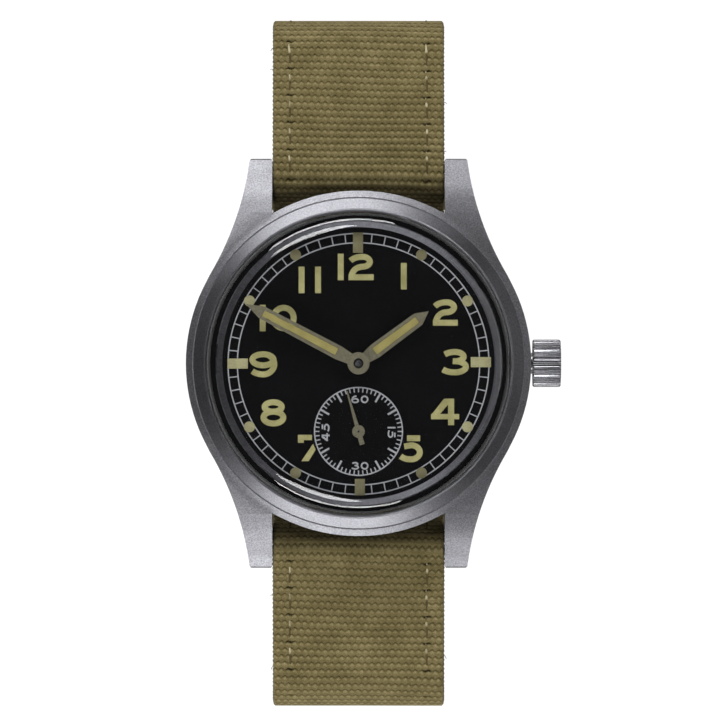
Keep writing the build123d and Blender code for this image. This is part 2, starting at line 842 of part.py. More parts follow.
def make_centre_pinion():
    """Centre pinion and the arbor that carries the minute hand through the dial."""
    leaf = train_pinion(centre_leaves, going_module, centre, barrel_place,
                        barrel_high - tooth_height, plate_low - run, 0)
    shaft = rod(centre_arbor, train_low + fit, cannon_top - run)
    return leaf + shaft + rod(pivot_radius, train_low - pivot_reach, train_low + fit)


cannon_top = minute_hand_low + hand_thickness + 2 * fit
cannon_leaf_height = 0.3
minute_wheel_height = 0.25
minute_leaf_height = 0.35
hour_wheel_rise = 0.33
hour_wheel_height = 0.22
minute_post_height = 0.75


def make_cannon_pinion():
    """Friction-fitted tube on the centre arbor, with ten leaves."""
    low = plate_top + fit
    high = minute_hand_low
    barrel_part = tube(cannon_tube, centre_arbor, low, high)
    leaf = toothed(
        cannon_teeth, reach_of(motion_module, cannon_teeth), meshing(cannon_teeth, centre, minute_place),
        low, low + cannon_leaf_height, bore=centre_arbor)
    return barrel_part + leaf


def make_minute_wheel():
    """Minute wheel and its pinion, on a post in the plate."""
    low = plate_top + fit
    middle = low + minute_wheel_height
    wheel = toothed(minute_teeth, reach_of(motion_module, minute_teeth), facing(minute_place, centre),
                    low, middle, bore=minute_post + run)
    leaf = toothed(
        minute_leaves, reach_of(motion_module, minute_leaves), meshing(minute_leaves, minute_place, centre),
        middle, middle + minute_leaf_height, bore=minute_post + run)
    return at(minute_place, wheel + leaf)


minute_post = 0.25


def make_hour_wheel():
    """Hour wheel with the tube that carries the hour hand."""
    low = plate_top + fit + hour_wheel_rise
    pipe = tube(hour_tube_outer, hour_tube_inner, low, hour_hand_low)
    wheel = toothed(hour_teeth, reach_of(motion_module, hour_teeth), facing(centre, minute_place),
                    low, low + hour_wheel_height, bore=hour_tube_inner)
    return pipe + wheel


def pinion_shaft(leaves, module, place, wheel_place, low, high):
    """Pinion and arbor in one piece, with pivots in the bridge and the plate."""
    leaf = train_pinion(leaves, module, place, wheel_place, low, high, 0)
    shaft = arbor(arbor_radius, pivot_radius, train_low + run, plate_low - run, pivot_reach)
    return leaf + at(place, shaft)


club_tooth_shares = ((0.0, 0.80), (0.36, 0.84), (0.62, 1.0), (0.72, 0.96), (0.66, 0.80))
escape_rim_share = 0.66
escape_hub_share = 0.3
escape_arms = 4
escape_wheel_height = 0.15


def make_escape_wheel():
    """Escape wheel with fifteen raked club teeth."""
    step = 360 / escape_teeth
    points = []
    for number in range(escape_teeth):
        for turn_share, radius_share in club_tooth_shares:
            angle = radians((number + turn_share) * step)
            radius = escape_radius * radius_share
            points.append((radius * cos(angle), radius * sin(angle)))
    windows = wheel_windows(escape_arms, escape_radius * escape_rim_share, escape_radius * escape_hub_share)
    outline = make_face(Polyline(*points, close=True)) - windows - Circle(arbor_radius)
    return at(escape_place, Pos(0, 0, escape_plane) * extrude(outline, escape_wheel_height))


impulse_radius = 0.9
impulse_pin_radius = 0.08
notch_width = 0.22
notch_length = 0.56
fork_end_length = 0.4
fork_end_width = 0.67
fork_overlap = 0.18
lever_width = 0.28
pallet_staff_radius = 0.16
pallet_staff_drop = 0.35
staff_pivot_reach = 0.25
pallet_reach_share = 1.02
pallet_back_share = 0.98
elbow_shares = (0.2, 0.35)


def make_pallet_fork():
    """Lever with two pallet arms about the escape wheel and a forked end at the balance."""
    span = radians(30)
    arm = escape_radius * sin(span) * pallet_reach_share
    back = pallet_step - escape_radius * cos(span) * pallet_back_share
    outer_bend, inner_bend = (back * share for share in elbow_shares)
    fork_end = fork_length - impulse_radius + fork_overlap
    lever = Pos(fork_end / 2, 0) * Rectangle(fork_end, lever_width)
    lever = lever + Pos(fork_end - fork_end_length / 2, 0) * Rectangle(fork_end_length, fork_end_width)
    lever = lever + Circle(2 * arbor_radius)
    for side in (1, -1):
        elbow = make_face(Polyline(
            (lever_width, side * lever_width), (-outer_bend, side * arm), (-back, side * arm),
            (-back, side * (arm - lever_width)), (-inner_bend, side * (arm - lever_width)),
            (-lever_width, 0), close=True))
        lever = lever + elbow
    lever = lever - Pos(fork_end, 0) * Rectangle(notch_length, notch_width)
    lever = Pos(0, 0, escape_plane) * extrude(lever, escape_wheel_height)
    staff = arbor(pallet_staff_radius, pivot_radius, escape_plane - pallet_staff_drop,
                  plate_low - run, staff_pivot_reach)
    return at(pallet_place, Rot(0, 0, degrees(escape_line)) * lever + staff)


balance_share = 0.2538
balance_radius = movement_radius * balance_share
rim_width = 0.45
roller_edge = 0.15
roller_height = 0.15
roller_gap = 0.1


def make_balance_wheel():
    """Balance: a ring rim on two arms."""
    outline = Circle(balance_radius) - Circle(balance_radius - rim_width)
    outline = outline + Rectangle(2 * balance_radius - rim_width, rim_width) + Circle(2 * rim_width)
    outline = outline - Circle(arbor_radius)
    return at(balance_place, Pos(0, 0, balance_low) * extrude(outline, balance_high - balance_low))


def make_balance_staff():
    """Balance staff with its roller and impulse pin."""
    roller_high = escape_plane - roller_gap
    roller_low = roller_high - roller_height
    staff = arbor(arbor_radius, pivot_radius, train_low - run, plate_low - run, staff_pivot_reach)
    roller = rod(impulse_radius + roller_edge, roller_low, roller_high)
    toward_fork = escape_line + pi
    pin_place = (impulse_radius * cos(toward_fork), impulse_radius * sin(toward_fork))
    pin = at(pin_place, rod(impulse_pin_radius, roller_low, escape_plane + escape_wheel_height))
    return at(balance_place, staff + roller + pin)


collet_radius = 0.55
spring_share = 0.177
spring_radius = movement_radius * spring_share
spring_turns = 8
spring_steps = 10
spring_thickness = 0.06


def make_hairspring():
    """Flat hairspring under the balance, from the collet to the stud."""
    low = train_low + run
    spring = spiral_strip(
        collet_radius, spring_radius, spring_turns, spring_steps, spring_thickness, low, low + fit)
    return at(balance_place, spring + tube(collet_radius, arbor_radius, low, low + fit))


click_line = radians(200)
click_lean = radians(70)
click_nose = 1.6
click_width = 0.8
click_post = 0.3


def click_tip():
    """Where the click's nose rests, just outside the ratchet wheel's pitch circle."""
    rim = reach_of(winding_module, ratchet_teeth) + run
    return barrel_place[0] + rim * cos(click_line), barrel_place[1] + rim * sin(click_line)


def click_place():
    """Post of the click, beside the ratchet wheel's rim."""
    tip = click_tip()
    back = click_line - click_lean
    return tip[0] + click_nose * cos(back), tip[1] + click_nose * sin(back)


def make_click():
    """Pawl on its post, with its nose in the ratchet wheel's teeth."""
    half = click_width / 2
    outline = make_face(Polyline(
        (-half, half), (-half, -half), (half, -half), (click_nose, -half / 8), (click_nose, half / 8),
        (half, half), close=True)) - Circle(click_post + run)
    place = click_place()
    pawl = Pos(0, 0, ratchet_low) * extrude(outline, ratchet_height - run)
    return at(place, Rot(0, 0, facing(place, click_tip())) * pawl)


# Plate, bridges, screws and jewels

rim_band = 0.85
rim_outer = movement_radius - fit
rim_inner = rim_outer - rim_band
screw_radius = 0.7
screw_head = 0.35
jewel_radius = 0.55
jewel_height = 0.3


def sector(start, end, inner, outer, low, high):
    """A sector of a ring between two angles in degrees, with straight radial ends."""
    rays = []
    for angle in (start, end):
        turn = radians(angle)
        rays.append(((inner * cos(turn), inner * sin(turn)), (outer * cos(turn), outer * sin(turn))))
    middle = radians((start + end) / 2)
    near = ThreePointArc(rays[0][0], (inner * cos(middle), inner * sin(middle)), rays[1][0])
    far = ThreePointArc(rays[0][1], (outer * cos(middle), outer * sin(middle)), rays[1][1])
    outline = make_face([*near.edges(), *far.edges(), *Line(*rays[0]).edges(), *Line(*rays[1]).edges()])
    return Pos(0, 0, low) * extrude(outline, high - low)


def pivot_hole(place, radius, low, high):
    """Cutter for a pivot or arbor hole."""
    return at(place, rod(radius + run, low - overrun, high + overrun))


def screw_seat():
    """Cutter for a screw's head, on the Z axis."""
    return rod(screw_radius + run, bridge_low - overrun, bridge_low + screw_head)


def jewel_seat(place):
    """Cutter for a jewel in the outer face of a bridge."""
    return at(place, rod(jewel_radius + run / 5, bridge_low - overrun, bridge_low + jewel_height))


block_share = 0.5615
block_inner = movement_radius * block_share
block_half = 0.9
block_floor = 0.6
window_half = 2.1
barrel_deck = (-14, 128)
barrel_foot = (22, 118)
train_deck = (-132, -26)
train_foot = (-118, -34)
deck_inner_share = 0.169
hub_deck_share = 0.146


def make_main_plate():
    """Round plate with the stem's block and window, and holes for every arbor."""
    plate = rod(movement_radius, plate_low, plate_top)
    block_low = stem_height - stem_radius - block_floor
    plate = plate + slab(block_inner, rim_outer - fit, -block_half, block_half, block_low, plate_low + run)
    for place in (third_place, escape_place, pallet_place, balance_place):
        plate = plate - pivot_hole(place, pivot_radius, plate_low, plate_low)
    plate = plate - pivot_hole(barrel_place, arbor_radius, plate_low, plate_low)
    plate = plate - pivot_hole(centre, centre_arbor, plate_low, plate_top)
    plate = plate - pivot_hole(fourth_place, seconds_arbor, plate_low, plate_top)
    window_low = winding_pinion_x - winding_width / 2 - sliding_width - 2 * fit
    window_high = winding_pinion_x + winding_width / 2 + fit
    plate = plate - slab(window_low, window_high, -window_half, window_half, ratchet_low, dial_low)
    stem_bore = rod(stem_radius + run, block_inner - overrun, movement_radius + overrun)
    plate = plate - along_x(stem_bore, stem_height)
    return plate + at(minute_place, rod(minute_post, plate_top, plate_top + minute_post_height))


def make_barrel_bridge():
    """Bridge over the barrel, with posts for the crown wheel and the click."""
    bridge = sector(*barrel_deck, movement_radius * deck_inner_share, rim_outer, bridge_low, train_low)
    bridge = bridge + sector(*barrel_foot, rim_inner, rim_outer, train_low, plate_low)
    bridge = bridge - pivot_hole(barrel_place, centre_arbor, bridge_low, train_low)
    pinion_clear = slab(winding_pinion_x - winding_width, winding_pinion_x + winding_width,
                        -window_half, window_half, bridge_low - overrun, train_low + overrun)
    bridge = bridge - pinion_clear
    pocket_radius = reach_of(winding_module, crown_wheel_teeth) + winding_module + fit
    pocket = rod(pocket_radius, bridge_low - overrun, crown_wheel_high + fit)
    bridge = bridge - at(crown_wheel_place, pocket)
    bridge = bridge + at(crown_wheel_place, rod(crown_wheel_post, ratchet_low, train_low))
    bridge = bridge + at(click_place(), rod(click_post, ratchet_low, bridge_low))
    for place in barrel_screws:
        bridge = bridge - at(place, screw_seat())
    return bridge


def make_train_bridge():
    """Bridge over the centre, third, fourth and escape arbors."""
    bridge = sector(*train_deck, run / 5, rim_outer, bridge_low, train_low)
    bridge = bridge + rod(movement_radius * hub_deck_share, bridge_low, train_low)
    bridge = bridge + sector(*train_foot, rim_inner, rim_outer, train_low, plate_low)
    for place in (centre, third_place, fourth_place, escape_place):
        bridge = bridge - pivot_hole(place, pivot_radius, bridge_low, train_low) - jewel_seat(place)
    for place in train_screws:
        bridge = bridge - at(place, screw_seat())
    return bridge


def rim_place(angle):
    """A place over the middle of the bridges' rim."""
    middle = (rim_inner + rim_outer) / 2 - fit
    return middle * cos(radians(angle)), middle * sin(radians(angle))


barrel_screw_angles = (30, 110)
train_screw_angles = (-110, -42)
cock_angle = 144.3
cock_share = 0.9094
barrel_screws = [rim_place(angle) for angle in barrel_screw_angles]
train_screws = [rim_place(angle) for angle in train_screw_angles]
cock_reach = movement_radius * cock_share
balance_screw = (cock_reach * cos(radians(cock_angle)), cock_reach * sin(radians(cock_angle)))
cock_half_share = 0.1154
pallet_foot_share = 0.177
pallet_foot_reach = movement_radius * pallet_foot_share
pallet_foot_half = 0.45
pallet_bridge_drop = 0.4
pallet_bridge_height = 0.25


def make_balance_cock():
    """Cock that carries the balance, on one foot at the plate's edge."""
    foot_half = movement_radius * cock_half_share
    foot_x, foot_y = balance_screw
    foot = slab(foot_x - foot_half, foot_x + foot_half, foot_y - foot_half, foot_y + foot_half,
                bridge_low, plate_low) & rod(rim_outer, bridge_low, plate_low)
    span = hypot(balance_place[0] - foot_x, balance_place[1] - foot_y)
    arm = extrude(Pos(span / 2, 0) * SlotCenterToCenter(span, 2 * foot_half), bridge_height)
    arm = Pos(0, 0, bridge_low) * Rot(0, 0, facing(balance_screw, balance_place)) * arm
    cock = foot + (at(balance_screw, arm) & rod(rim_outer, bridge_low, plate_low))
    cock = cock - pivot_hole(balance_place, pivot_radius, bridge_low, train_low) - jewel_seat(balance_place)
    return cock - at(balance_screw, screw_seat())


def make_pallet_bridge():
    """Small bridge over the pallet staff, on two feet."""
    low = escape_plane - pallet_bridge_drop
    high = low + pallet_bridge_height
    half = pallet_foot_half
    bar = slab(-half, half, -pallet_foot_reach - half, pallet_foot_reach + half, low, high)
    for side in (1, -1):
        foot_y = side * pallet_foot_reach
        bar = bar + slab(-half, half, foot_y - half, foot_y + half, low, plate_low)
    bar = Rot(0, 0, degrees(escape_line)) * bar
    return at(pallet_place, bar) - pivot_hole(pallet_place, pivot_radius, low, high)


def make_bridge_screws():
    """Cheese-head screws of the bridges and the cock, slotted."""
    slot = Box(2 * screw_radius, run * 4, fit * 2)
    screws = Part()
    for place in barrel_screws + train_screws + [balance_screw]:
        screw = rod(screw_radius, bridge_low, bridge_low + screw_head)
        screws = screws + at(place, screw - Pos(0, 0, bridge_low) * slot)
    return screws


def make_jewels():
    """Ring jewels in the outer faces of the train bridge and the cock."""
    jewels = Part()
    for place in (centre, third_place, fourth_place, escape_place, balance_place):
        jewel = tube(jewel_radius, pivot_radius + run, bridge_low, bridge_low + jewel_height)
        jewels = jewels + at(place, jewel)
    return jewels


# Hands, with the windows that hold their luminous fill

hand_neck = 0.9
window_wall = 0.33
window_gap = 0.02


def hand_blade(reach, inner_width, outer_width, inner_shoulder, outer_shoulder):
    """Outline of a blade along +Y: narrow neck, straight edges and a pointed tip."""
    return make_face(Polyline(
        (-hand_neck / 2, 0), (-inner_width / 2, inner_shoulder), (-outer_width / 2, outer_shoulder),
        (0, reach), (outer_width / 2, outer_shoulder), (inner_width / 2, inner_shoulder),
        (hand_neck / 2, 0), close=True))


def hand_window(inner_width, outer_width, low, high, shrink):
    """Outline of the window in a blade, or of its fill when it is shrunk."""
    inner = inner_width / 2 - window_wall - shrink
    outer = outer_width / 2 - window_wall - shrink
    low = low + shrink
    high = high - shrink
    return make_face(Polyline((-inner, low), (-outer, high), (outer, high), (inner, low), close=True))


def make_windowed_hand(reach, widths, shoulders, window, angle, low, hole):
    """A hand with its hub, turned clockwise from 12 o'clock by an angle."""
    outline = hand_blade(reach, *widths, *shoulders) + Circle(hand_hub) - Circle(hole)
    outline = outline - hand_window(*widths, *window, 0)
    return Rot(0, 0, -angle) * Pos(0, 0, low) * extrude(outline, hand_thickness)


def make_hand_fill(widths, window, angle, low):
    """Luminous fill of a hand's window."""
    fill = extrude(hand_window(*widths, *window, window_gap), hand_thickness - window_gap)
    return Rot(0, 0, -angle) * Pos(0, 0, low) * fill


hour_point = 1.35
hour_inner_shoulder = 2.12
hour_window_start = 2.05
hour_window_margin = 0.12
hour_widths = (1.54, 1.43)
hour_shoulders = (hour_inner_shoulder, hour_reach - hour_point)
hour_window = (hour_window_start, hour_reach - hour_point - hour_window_margin)
minute_point = 1.9
minute_inner_shoulder = 2.3
minute_window_start = 2.52
minute_window_margin = 0.2
minute_widths = (1.47, 1.33)
minute_shoulders = (minute_inner_shoulder, minute_reach - minute_point)
minute_window = (minute_window_start, minute_reach - minute_point - minute_window_margin)
needle_root = 0.45
needle_tip = 0.12
needle_hub = 0.66
needle_tail = 1.42
needle_tail_width = 0.54


def make_seconds_hand():
    """Needle with a round hub and a short broad tail."""
    needle = make_face(Polyline(
        (-needle_root / 2, 0), (-needle_tip / 2, seconds_reach), (needle_tip / 2, seconds_reach),
        (needle_root / 2, 0), (needle_tail_width / 2, -needle_tail), (-needle_tail_width / 2, -needle_tail),
        close=True))
    outline = needle + Circle(needle_hub) - Circle(seconds_arbor - run)
    hand = Rot(0, 0, -seconds_angle) * Pos(0, 0, seconds_hand_low) * extrude(outline, hand_thickness)
    return at(fourth_place, hand)


def make_fourth_pinion():
    """Fourth pinion, whose long pivot carries the seconds hand."""
    leaf = train_pinion(fourth_leaves, third_module, fourth_place, third_place,
                        third_plane - run, third_plane + wheel_height + run, 0)
    shaft = rod(arbor_radius, train_low + run, plate_low - run)
    shaft = shaft + rod(pivot_radius, train_low - pivot_reach, train_low + run)
    shaft = shaft + rod(seconds_arbor, plate_low - run, seconds_hand_low)
    shaft = shaft + rod(seconds_arbor - run, seconds_hand_low, seconds_hand_low + hand_thickness + run)
    return leaf + at(fourth_place, shaft)


def all_parts():
    """Every piece, by the name of its node."""
    parts = {
        "strap": make_strap(),
        "buckle_frame": make_buckle_frame(),
        "buckle_bar": make_buckle_bar(),
        "buckle_tongue": make_buckle_tongue(),
        "fixed_keeper": make_keeper(0, fixed_keeper_width),
        "sliding_keeper": make_keeper(keeper_pitch, sliding_keeper_width)}
    in_head = {
        "mid_case": make_mid_case(),
        "bezel": make_bezel(),
        "crystal": make_crystal(),
        "crystal_gasket": make_crystal_gasket(),
        "dial": make_dial(),
        "movement_ring": make_movement_ring(),
        "case_back": make_case_back(),
        "case_back_gasket": make_back_gasket(),
        "crown_tube": make_crown_tube(),
        "crown": make_crown(),
        "crown_gasket": make_crown_gasket(),
        "winding_stem": make_winding_stem(),
        "winding_pinion": make_winding_pinion(),
        "sliding_pinion": make_sliding_pinion(),
        "crown_wheel": make_crown_wheel(),
        "ratchet_wheel": make_ratchet_wheel(),
        "click": make_click(),
        "barrel": make_barrel(),
        "barrel_arbor": make_barrel_arbor(),
        "mainspring": make_mainspring(),
        "centre_wheel": train_wheel(centre_teeth, going_module, centre, third_place,
                                    centre_plane, centre_arbor),
        "centre_pinion": make_centre_pinion(),
        "third_wheel": train_wheel(third_teeth, third_module, third_place, fourth_place,
                                   third_plane, arbor_radius),
        "third_pinion": pinion_shaft(third_leaves, going_module, third_place, centre,
                                     centre_plane - run, centre_plane + wheel_height + run),
        "fourth_wheel": train_wheel(fourth_teeth, fourth_module, fourth_place, escape_place,
                                    fourth_plane, arbor_radius),
        "fourth_pinion": make_fourth_pinion(),
        "escape_wheel": make_escape_wheel(),
        "escape_pinion": pinion_shaft(escape_leaves, fourth_module, escape_place, fourth_place,
                                      fourth_plane - run, fourth_plane + wheel_height + run),
        "pallet_fork": make_pallet_fork(),
        "balance_wheel": make_balance_wheel(),
        "balance_staff": make_balance_staff(),
        "hairspring": make_hairspring(),
        "cannon_pinion": make_cannon_pinion(),
        "minute_wheel": make_minute_wheel(),
        "hour_wheel": make_hour_wheel(),
        "main_plate": make_main_plate(),
        "barrel_bridge": make_barrel_bridge(),
        "train_bridge": make_train_bridge(),
        "balance_cock": make_balance_cock(),
        "pallet_bridge": make_pallet_bridge(),
        "bridge_screws": make_bridge_screws(),
        "jewels": make_jewels(),
        "hour_hand": make_windowed_hand(hour_reach, hour_widths, hour_shoulders, hour_window,
                                        hour_angle, hour_hand_low, hour_tube_outer),
        "hour_hand_fill": make_hand_fill(hour_widths, hour_window, hour_angle, hour_hand_low),
        "minute_hand": make_windowed_hand(minute_reach, minute_widths, minute_shoulders, minute_window,
                                          minute_angle, minute_hand_low, centre_arbor),
        "minute_hand_fill": make_hand_fill(minute_widths, minute_window, minute_angle, minute_hand_low),
        "seconds_hand": make_seconds_hand()}
    for side, side_name in ((1, "upper"), (-1, "lower")):
        in_head[f"{side_name}_bar_sleeve"] = make_bar_sleeve(side)
        for hand, hand_name in ((1, "right"), (-1, "left")):
            in_head[f"{side_name}_{hand_name}_bar_pin"] = make_bar_pin(side, hand)
    for name, shape in in_head.items():
        parts[name] = head(shape)
    return parts


for name, shape in all_parts().items():
    export_step(shape, f"parts/{name}.step")
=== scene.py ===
"""Looks of a field watch: a round steel case on a canvas strap that is buckled in a closed loop.

The watch is dressed in the order in which it is put together, from the case inward and then out to
the strap. Lengths are metres, with the dial facing +Z, 12 o'clock along +Y and the crown along +X.
"""
import math
import random

import bmesh
import bpy
from mathutils import Matrix, Vector


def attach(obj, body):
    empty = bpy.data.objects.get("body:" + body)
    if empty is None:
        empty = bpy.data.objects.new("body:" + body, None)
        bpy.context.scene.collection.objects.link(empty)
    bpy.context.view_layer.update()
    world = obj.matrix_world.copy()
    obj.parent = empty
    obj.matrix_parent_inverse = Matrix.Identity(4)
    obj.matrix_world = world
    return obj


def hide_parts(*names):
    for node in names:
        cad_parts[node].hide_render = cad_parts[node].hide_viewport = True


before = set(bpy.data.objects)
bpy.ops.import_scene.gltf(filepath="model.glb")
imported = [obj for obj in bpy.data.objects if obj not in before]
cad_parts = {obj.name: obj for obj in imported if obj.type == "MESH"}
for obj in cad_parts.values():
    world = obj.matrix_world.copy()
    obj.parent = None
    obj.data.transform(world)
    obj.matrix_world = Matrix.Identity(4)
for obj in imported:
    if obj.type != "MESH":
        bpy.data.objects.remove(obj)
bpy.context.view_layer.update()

# Mid case: machined from steel bar with its four lugs in one piece, then blasted with fine glass
# beads, which leaves an even grey grain. Only the arrises catch a brighter line.

mm = 0.001
back_level = 31.0


def linear(red, green, blue):
    """Colour as a screen shows it (0 to 255) to the values that a shader takes."""
    channels = []
    for value in (red, green, blue):
        share = value / 255
        channels.append(share / 12.92 if share <= 0.04045 else ((share + 0.055) / 1.055) ** 2.4)
    return (*channels, 1.0)


def finish_named(name, roughness, metallic=0.0, specular=0.5):
    """A new material and its principled shader."""
    material = bpy.data.materials.new(name)
    material.use_nodes = True
    shader = material.node_tree.nodes["Principled BSDF"]
    shader.inputs["Roughness"].default_value = roughness
    shader.inputs["Metallic"].default_value = metallic
    shader.inputs["Specular IOR Level"].default_value = specular
    return material, shader


def node_in(material, kind, inputs=None, **settings):
    """A node with its settings and plain input values."""
    node = material.node_tree.nodes.new("ShaderNode" + kind)
    for key, value in settings.items():
        setattr(node, key, value)
    for key, value in (inputs or {}).items():
        node.inputs[key].default_value = value
    return node


def wire(material, source, target):
    """Links one socket to another."""
    material.node_tree.links.new(source, target)


def object_space(material, turn=(0.0, 0.0, 0.0), scale=(1.0, 1.0, 1.0), centre=(0.0, 0.0, 0.0)):
    """Object coordinates, moved to a centre, turned and scaled."""
    place = node_in(material, "TexCoord")
    mapping = node_in(material, "Mapping", {"Rotation": turn, "Scale": scale}, vector_type="POINT")
    shift = node_in(material, "VectorMath", {1: centre}, operation="SUBTRACT")
    wire(material, place.outputs["Object"], shift.inputs[0])
    wire(material, shift.outputs[0], mapping.inputs["Vector"])
    return mapping.outputs["Vector"]


def noise(material, vector, size, detail=2.0, roughness=0.5):
    """Noise whose blobs measure about size, in metres."""
    node = node_in(material, "TexNoise", {"Scale": 1 / size, "Detail": detail, "Roughness": roughness})
    wire(material, vector, node.inputs["Vector"])
    return node.outputs["Fac"]


def ramp(material, factor, *stops):
    """Colours by a factor, from (place, colour) stops."""
    node = node_in(material, "ValToRGB")
    elements = node.color_ramp.elements
    while len(elements) < len(stops):
        elements.new(0.5)
    for element, (place, colour) in zip(elements, stops):
        element.position = place
        element.color = colour
    wire(material, factor, node.inputs["Fac"])
    return node.outputs["Color"]


def spread(material, factor, low, high):
    """Brings a factor from 0.3..0.7, where noise mostly lies, to low..high."""
    node = node_in(material, "MapRange", {"From Min": 0.3, "From Max": 0.7, "To Min": low, "To Max": high})
    wire(material, factor, node.inputs["Value"])
    return node.outputs["Result"]


def bump(material, shader, *layers):
    """Bumps one over another, from (height, distance in metres, strength)."""
    last = None
    for height, distance, strength in layers:
        node = node_in(material, "Bump", {"Distance": distance, "Strength": strength})
        wire(material, height, node.inputs["Height"])
        if last is not None:
            wire(material, last, node.inputs["Normal"])
        last = node.outputs["Normal"]
    wire(material, last, shader.inputs["Normal"])


def blasted_steel(name, dark, light, roughness):
    """Bead-blasted steel: fine sparkling grain over broad, faint clouds."""
    material, shader = finish_named(name, roughness, metallic=1.0)
    space = object_space(material)
    grain = noise(material, space, 0.14 * mm, 2.0, 0.6)
    clouds = noise(material, space, 5 * mm, 2.0)
    wire(material, ramp(material, grain, (0.25, dark), (0.75, light)), shader.inputs["Base Color"])
    wire(material, spread(material, clouds, roughness - 0.03, roughness + 0.03), shader.inputs["Roughness"])
    bump(material, shader, (grain, 0.004 * mm, 0.5))
    return material


def turned_steel(name, dark, light, roughness):
    """Steel with the fine rings of a lathe about the dial's axis."""
    material, shader = finish_named(name, roughness, metallic=1.0)
    space = object_space(material)
    rings = node_in(material, "TexWave", {"Scale": 900.0, "Distortion": 1.5, "Detail": 2.0},
                    wave_type="RINGS", rings_direction="Z")
    wire(material, space, rings.inputs["Vector"])
    clouds = noise(material, space, 3 * mm, 3.0)
    wire(material, ramp(material, clouds, (0.3, dark), (0.7, light)), shader.inputs["Base Color"])
    wire(material, spread(material, clouds, roughness - 0.03, roughness + 0.04), shader.inputs["Roughness"])
    bump(material, shader, (rings.outputs["Fac"], 0.003 * mm, 0.35))
    return material


def copy_of(name):
    """A merged copy of a CAD node's mesh, as a bmesh with its faces joined where they are flat."""
    shape = bmesh.new()
    shape.from_mesh(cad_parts[name].data)
    bmesh.ops.remove_doubles(shape, verts=shape.verts, dist=0.0005 * mm)
    bmesh.ops.dissolve_limit(shape, angle_limit=math.radians(0.6), verts=shape.verts, edges=shape.edges)
    return shape


def bevel_sharp(shape, width, least_angle, segments=2):
    """Rounds the edges that turn by more than an angle."""
    edges = [e for e in shape.edges if e.is_manifold and e.calc_face_angle(0.0) > math.radians(least_angle)]
    bmesh.ops.bevel(shape, geom=edges, offset=width, offset_type="OFFSET", segments=segments,
                    profile=0.5, affect="EDGES", clamp_overlap=True, material=-1)


def linked(name, data):
    """A new object in the scene for a mesh, a curve, a lamp or a camera."""
    made = bpy.data.objects.new(name, data)
    bpy.context.scene.collection.objects.link(made)
    return made


def mesh_object(name, shape):
    """A mesh object from a bmesh, which is freed."""
    mesh = bpy.data.meshes.new(name)
    shape.to_mesh(mesh)
    shape.free()
    return linked(name, mesh)


def piece(name, shape, material, body, smooth_angle=30.0):
    """A finished piece from a bmesh: shaded, given its material and set on its body."""
    made = mesh_object(name, shape)
    made.data.materials.append(material)
    made.data.shade_smooth()
    made.data.set_sharp_from_angle(angle=math.radians(smooth_angle))
    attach(made, body)
    return made


def dress(material, *names):
    """Gives CAD nodes a material."""
    for name in names:
        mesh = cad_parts[name].data
        mesh.materials.clear()
        mesh.materials.append(material)


case_radius, shoulder_z = 18.0, back_level + 6.82


def lug_tops(shape):
    """Upper faces of the lugs, beyond the round body."""
    return [face for face in shape.faces if face.normal.z > 0.5
            and face.calc_center_median().xy.length > (case_radius - 0.05) * mm
            and face.calc_center_median().z > (back_level + 3) * mm]


case_grain = blasted_steel("case_blasted", linear(103, 103, 107), linear(159, 159, 164), 0.5)
mid_case = copy_of("mid_case")
lug_cut_spacing = 0.75
for cut_number in range(-28, 29):
    if abs(cut_number) > 14:
        tops = lug_tops(mid_case)
        around = dict.fromkeys(part for face in tops for part in (*face.edges, *face.verts))
        bmesh.ops.bisect_plane(mid_case, geom=tops + list(around),
                               plane_co=(0, cut_number * lug_cut_spacing * mm, 0), plane_no=(0, 1, 0))
lug_end_reach, lug_root_length, lug_lean, lug_middle = 21.5, 3.5, 0.1, 10.2
for vert in {vert for face in lug_tops(mid_case) for vert in face.verts}:
    share = min(1.0, max(0.0, (lug_end_reach - vert.co.xy.length / mm) / lug_root_length)) ** 2
    lean = lug_lean * (abs(vert.co.x) / mm - lug_middle) * (1 - share)
    vert.co.z += ((shoulder_z - 0.05 - vert.co.z / mm) * share - lean) * mm
ledge_radius, ledge_height, ledge_dressed = 17.4, 7.2, 17.3
edge_height, edge_dressed, nearby = 6.3, 17.96, 0.02
for vert in mid_case.verts:
    reach, height = vert.co.xy.length / mm, vert.co.z / mm - back_level
    if abs(reach - ledge_radius) < nearby and abs(height - ledge_height) < nearby:
        vert.co.xy *= ledge_dressed / reach
    elif abs(reach - case_radius) < nearby and abs(height - edge_height) < nearby:
        vert.co.z = shoulder_z * mm
        vert.co.xy *= edge_dressed / reach
mid_case_piece = piece("case_middle", mid_case, case_grain, "case", 14.0)
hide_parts("mid_case")

# Case back: a steel disc turned on the lathe, screwed in by six key slots. The crown's tube is a
# plain turned sleeve pressed into the case.

back_rings = turned_steel("back_turned", linear(120, 119, 118), linear(176, 175, 173), 0.34)
dress(back_rings, "case_back", "crown_tube")

# Bezel: a turned steel ring with one sloping face, blasted more finely than the case and pressed on
# over the crystal. A hairline ledge of the case shows round it, and inside the crystal a low sloping
# lip of the case shows round the dial.


def turn_profile(shape, points, steps, centre_y=0.0):
    """Turns a closed profile of (radius, height) points in millimetres about an upright axis."""
    corners = [shape.verts.new((radius * mm, centre_y * mm, height * mm)) for radius, height in points]
    edges = [shape.edges.new(pair) for pair in zip(corners, corners[1:] + corners[:1])
             if max(pair[0].co.x, pair[1].co.x) > 1e-9]
    bmesh.ops.spin(shape, geom=corners + edges, cent=(0, centre_y * mm, 0), axis=(0, 0, 1), dvec=(0, 0, 0),
                   angle=math.tau, steps=steps, use_merge=True)


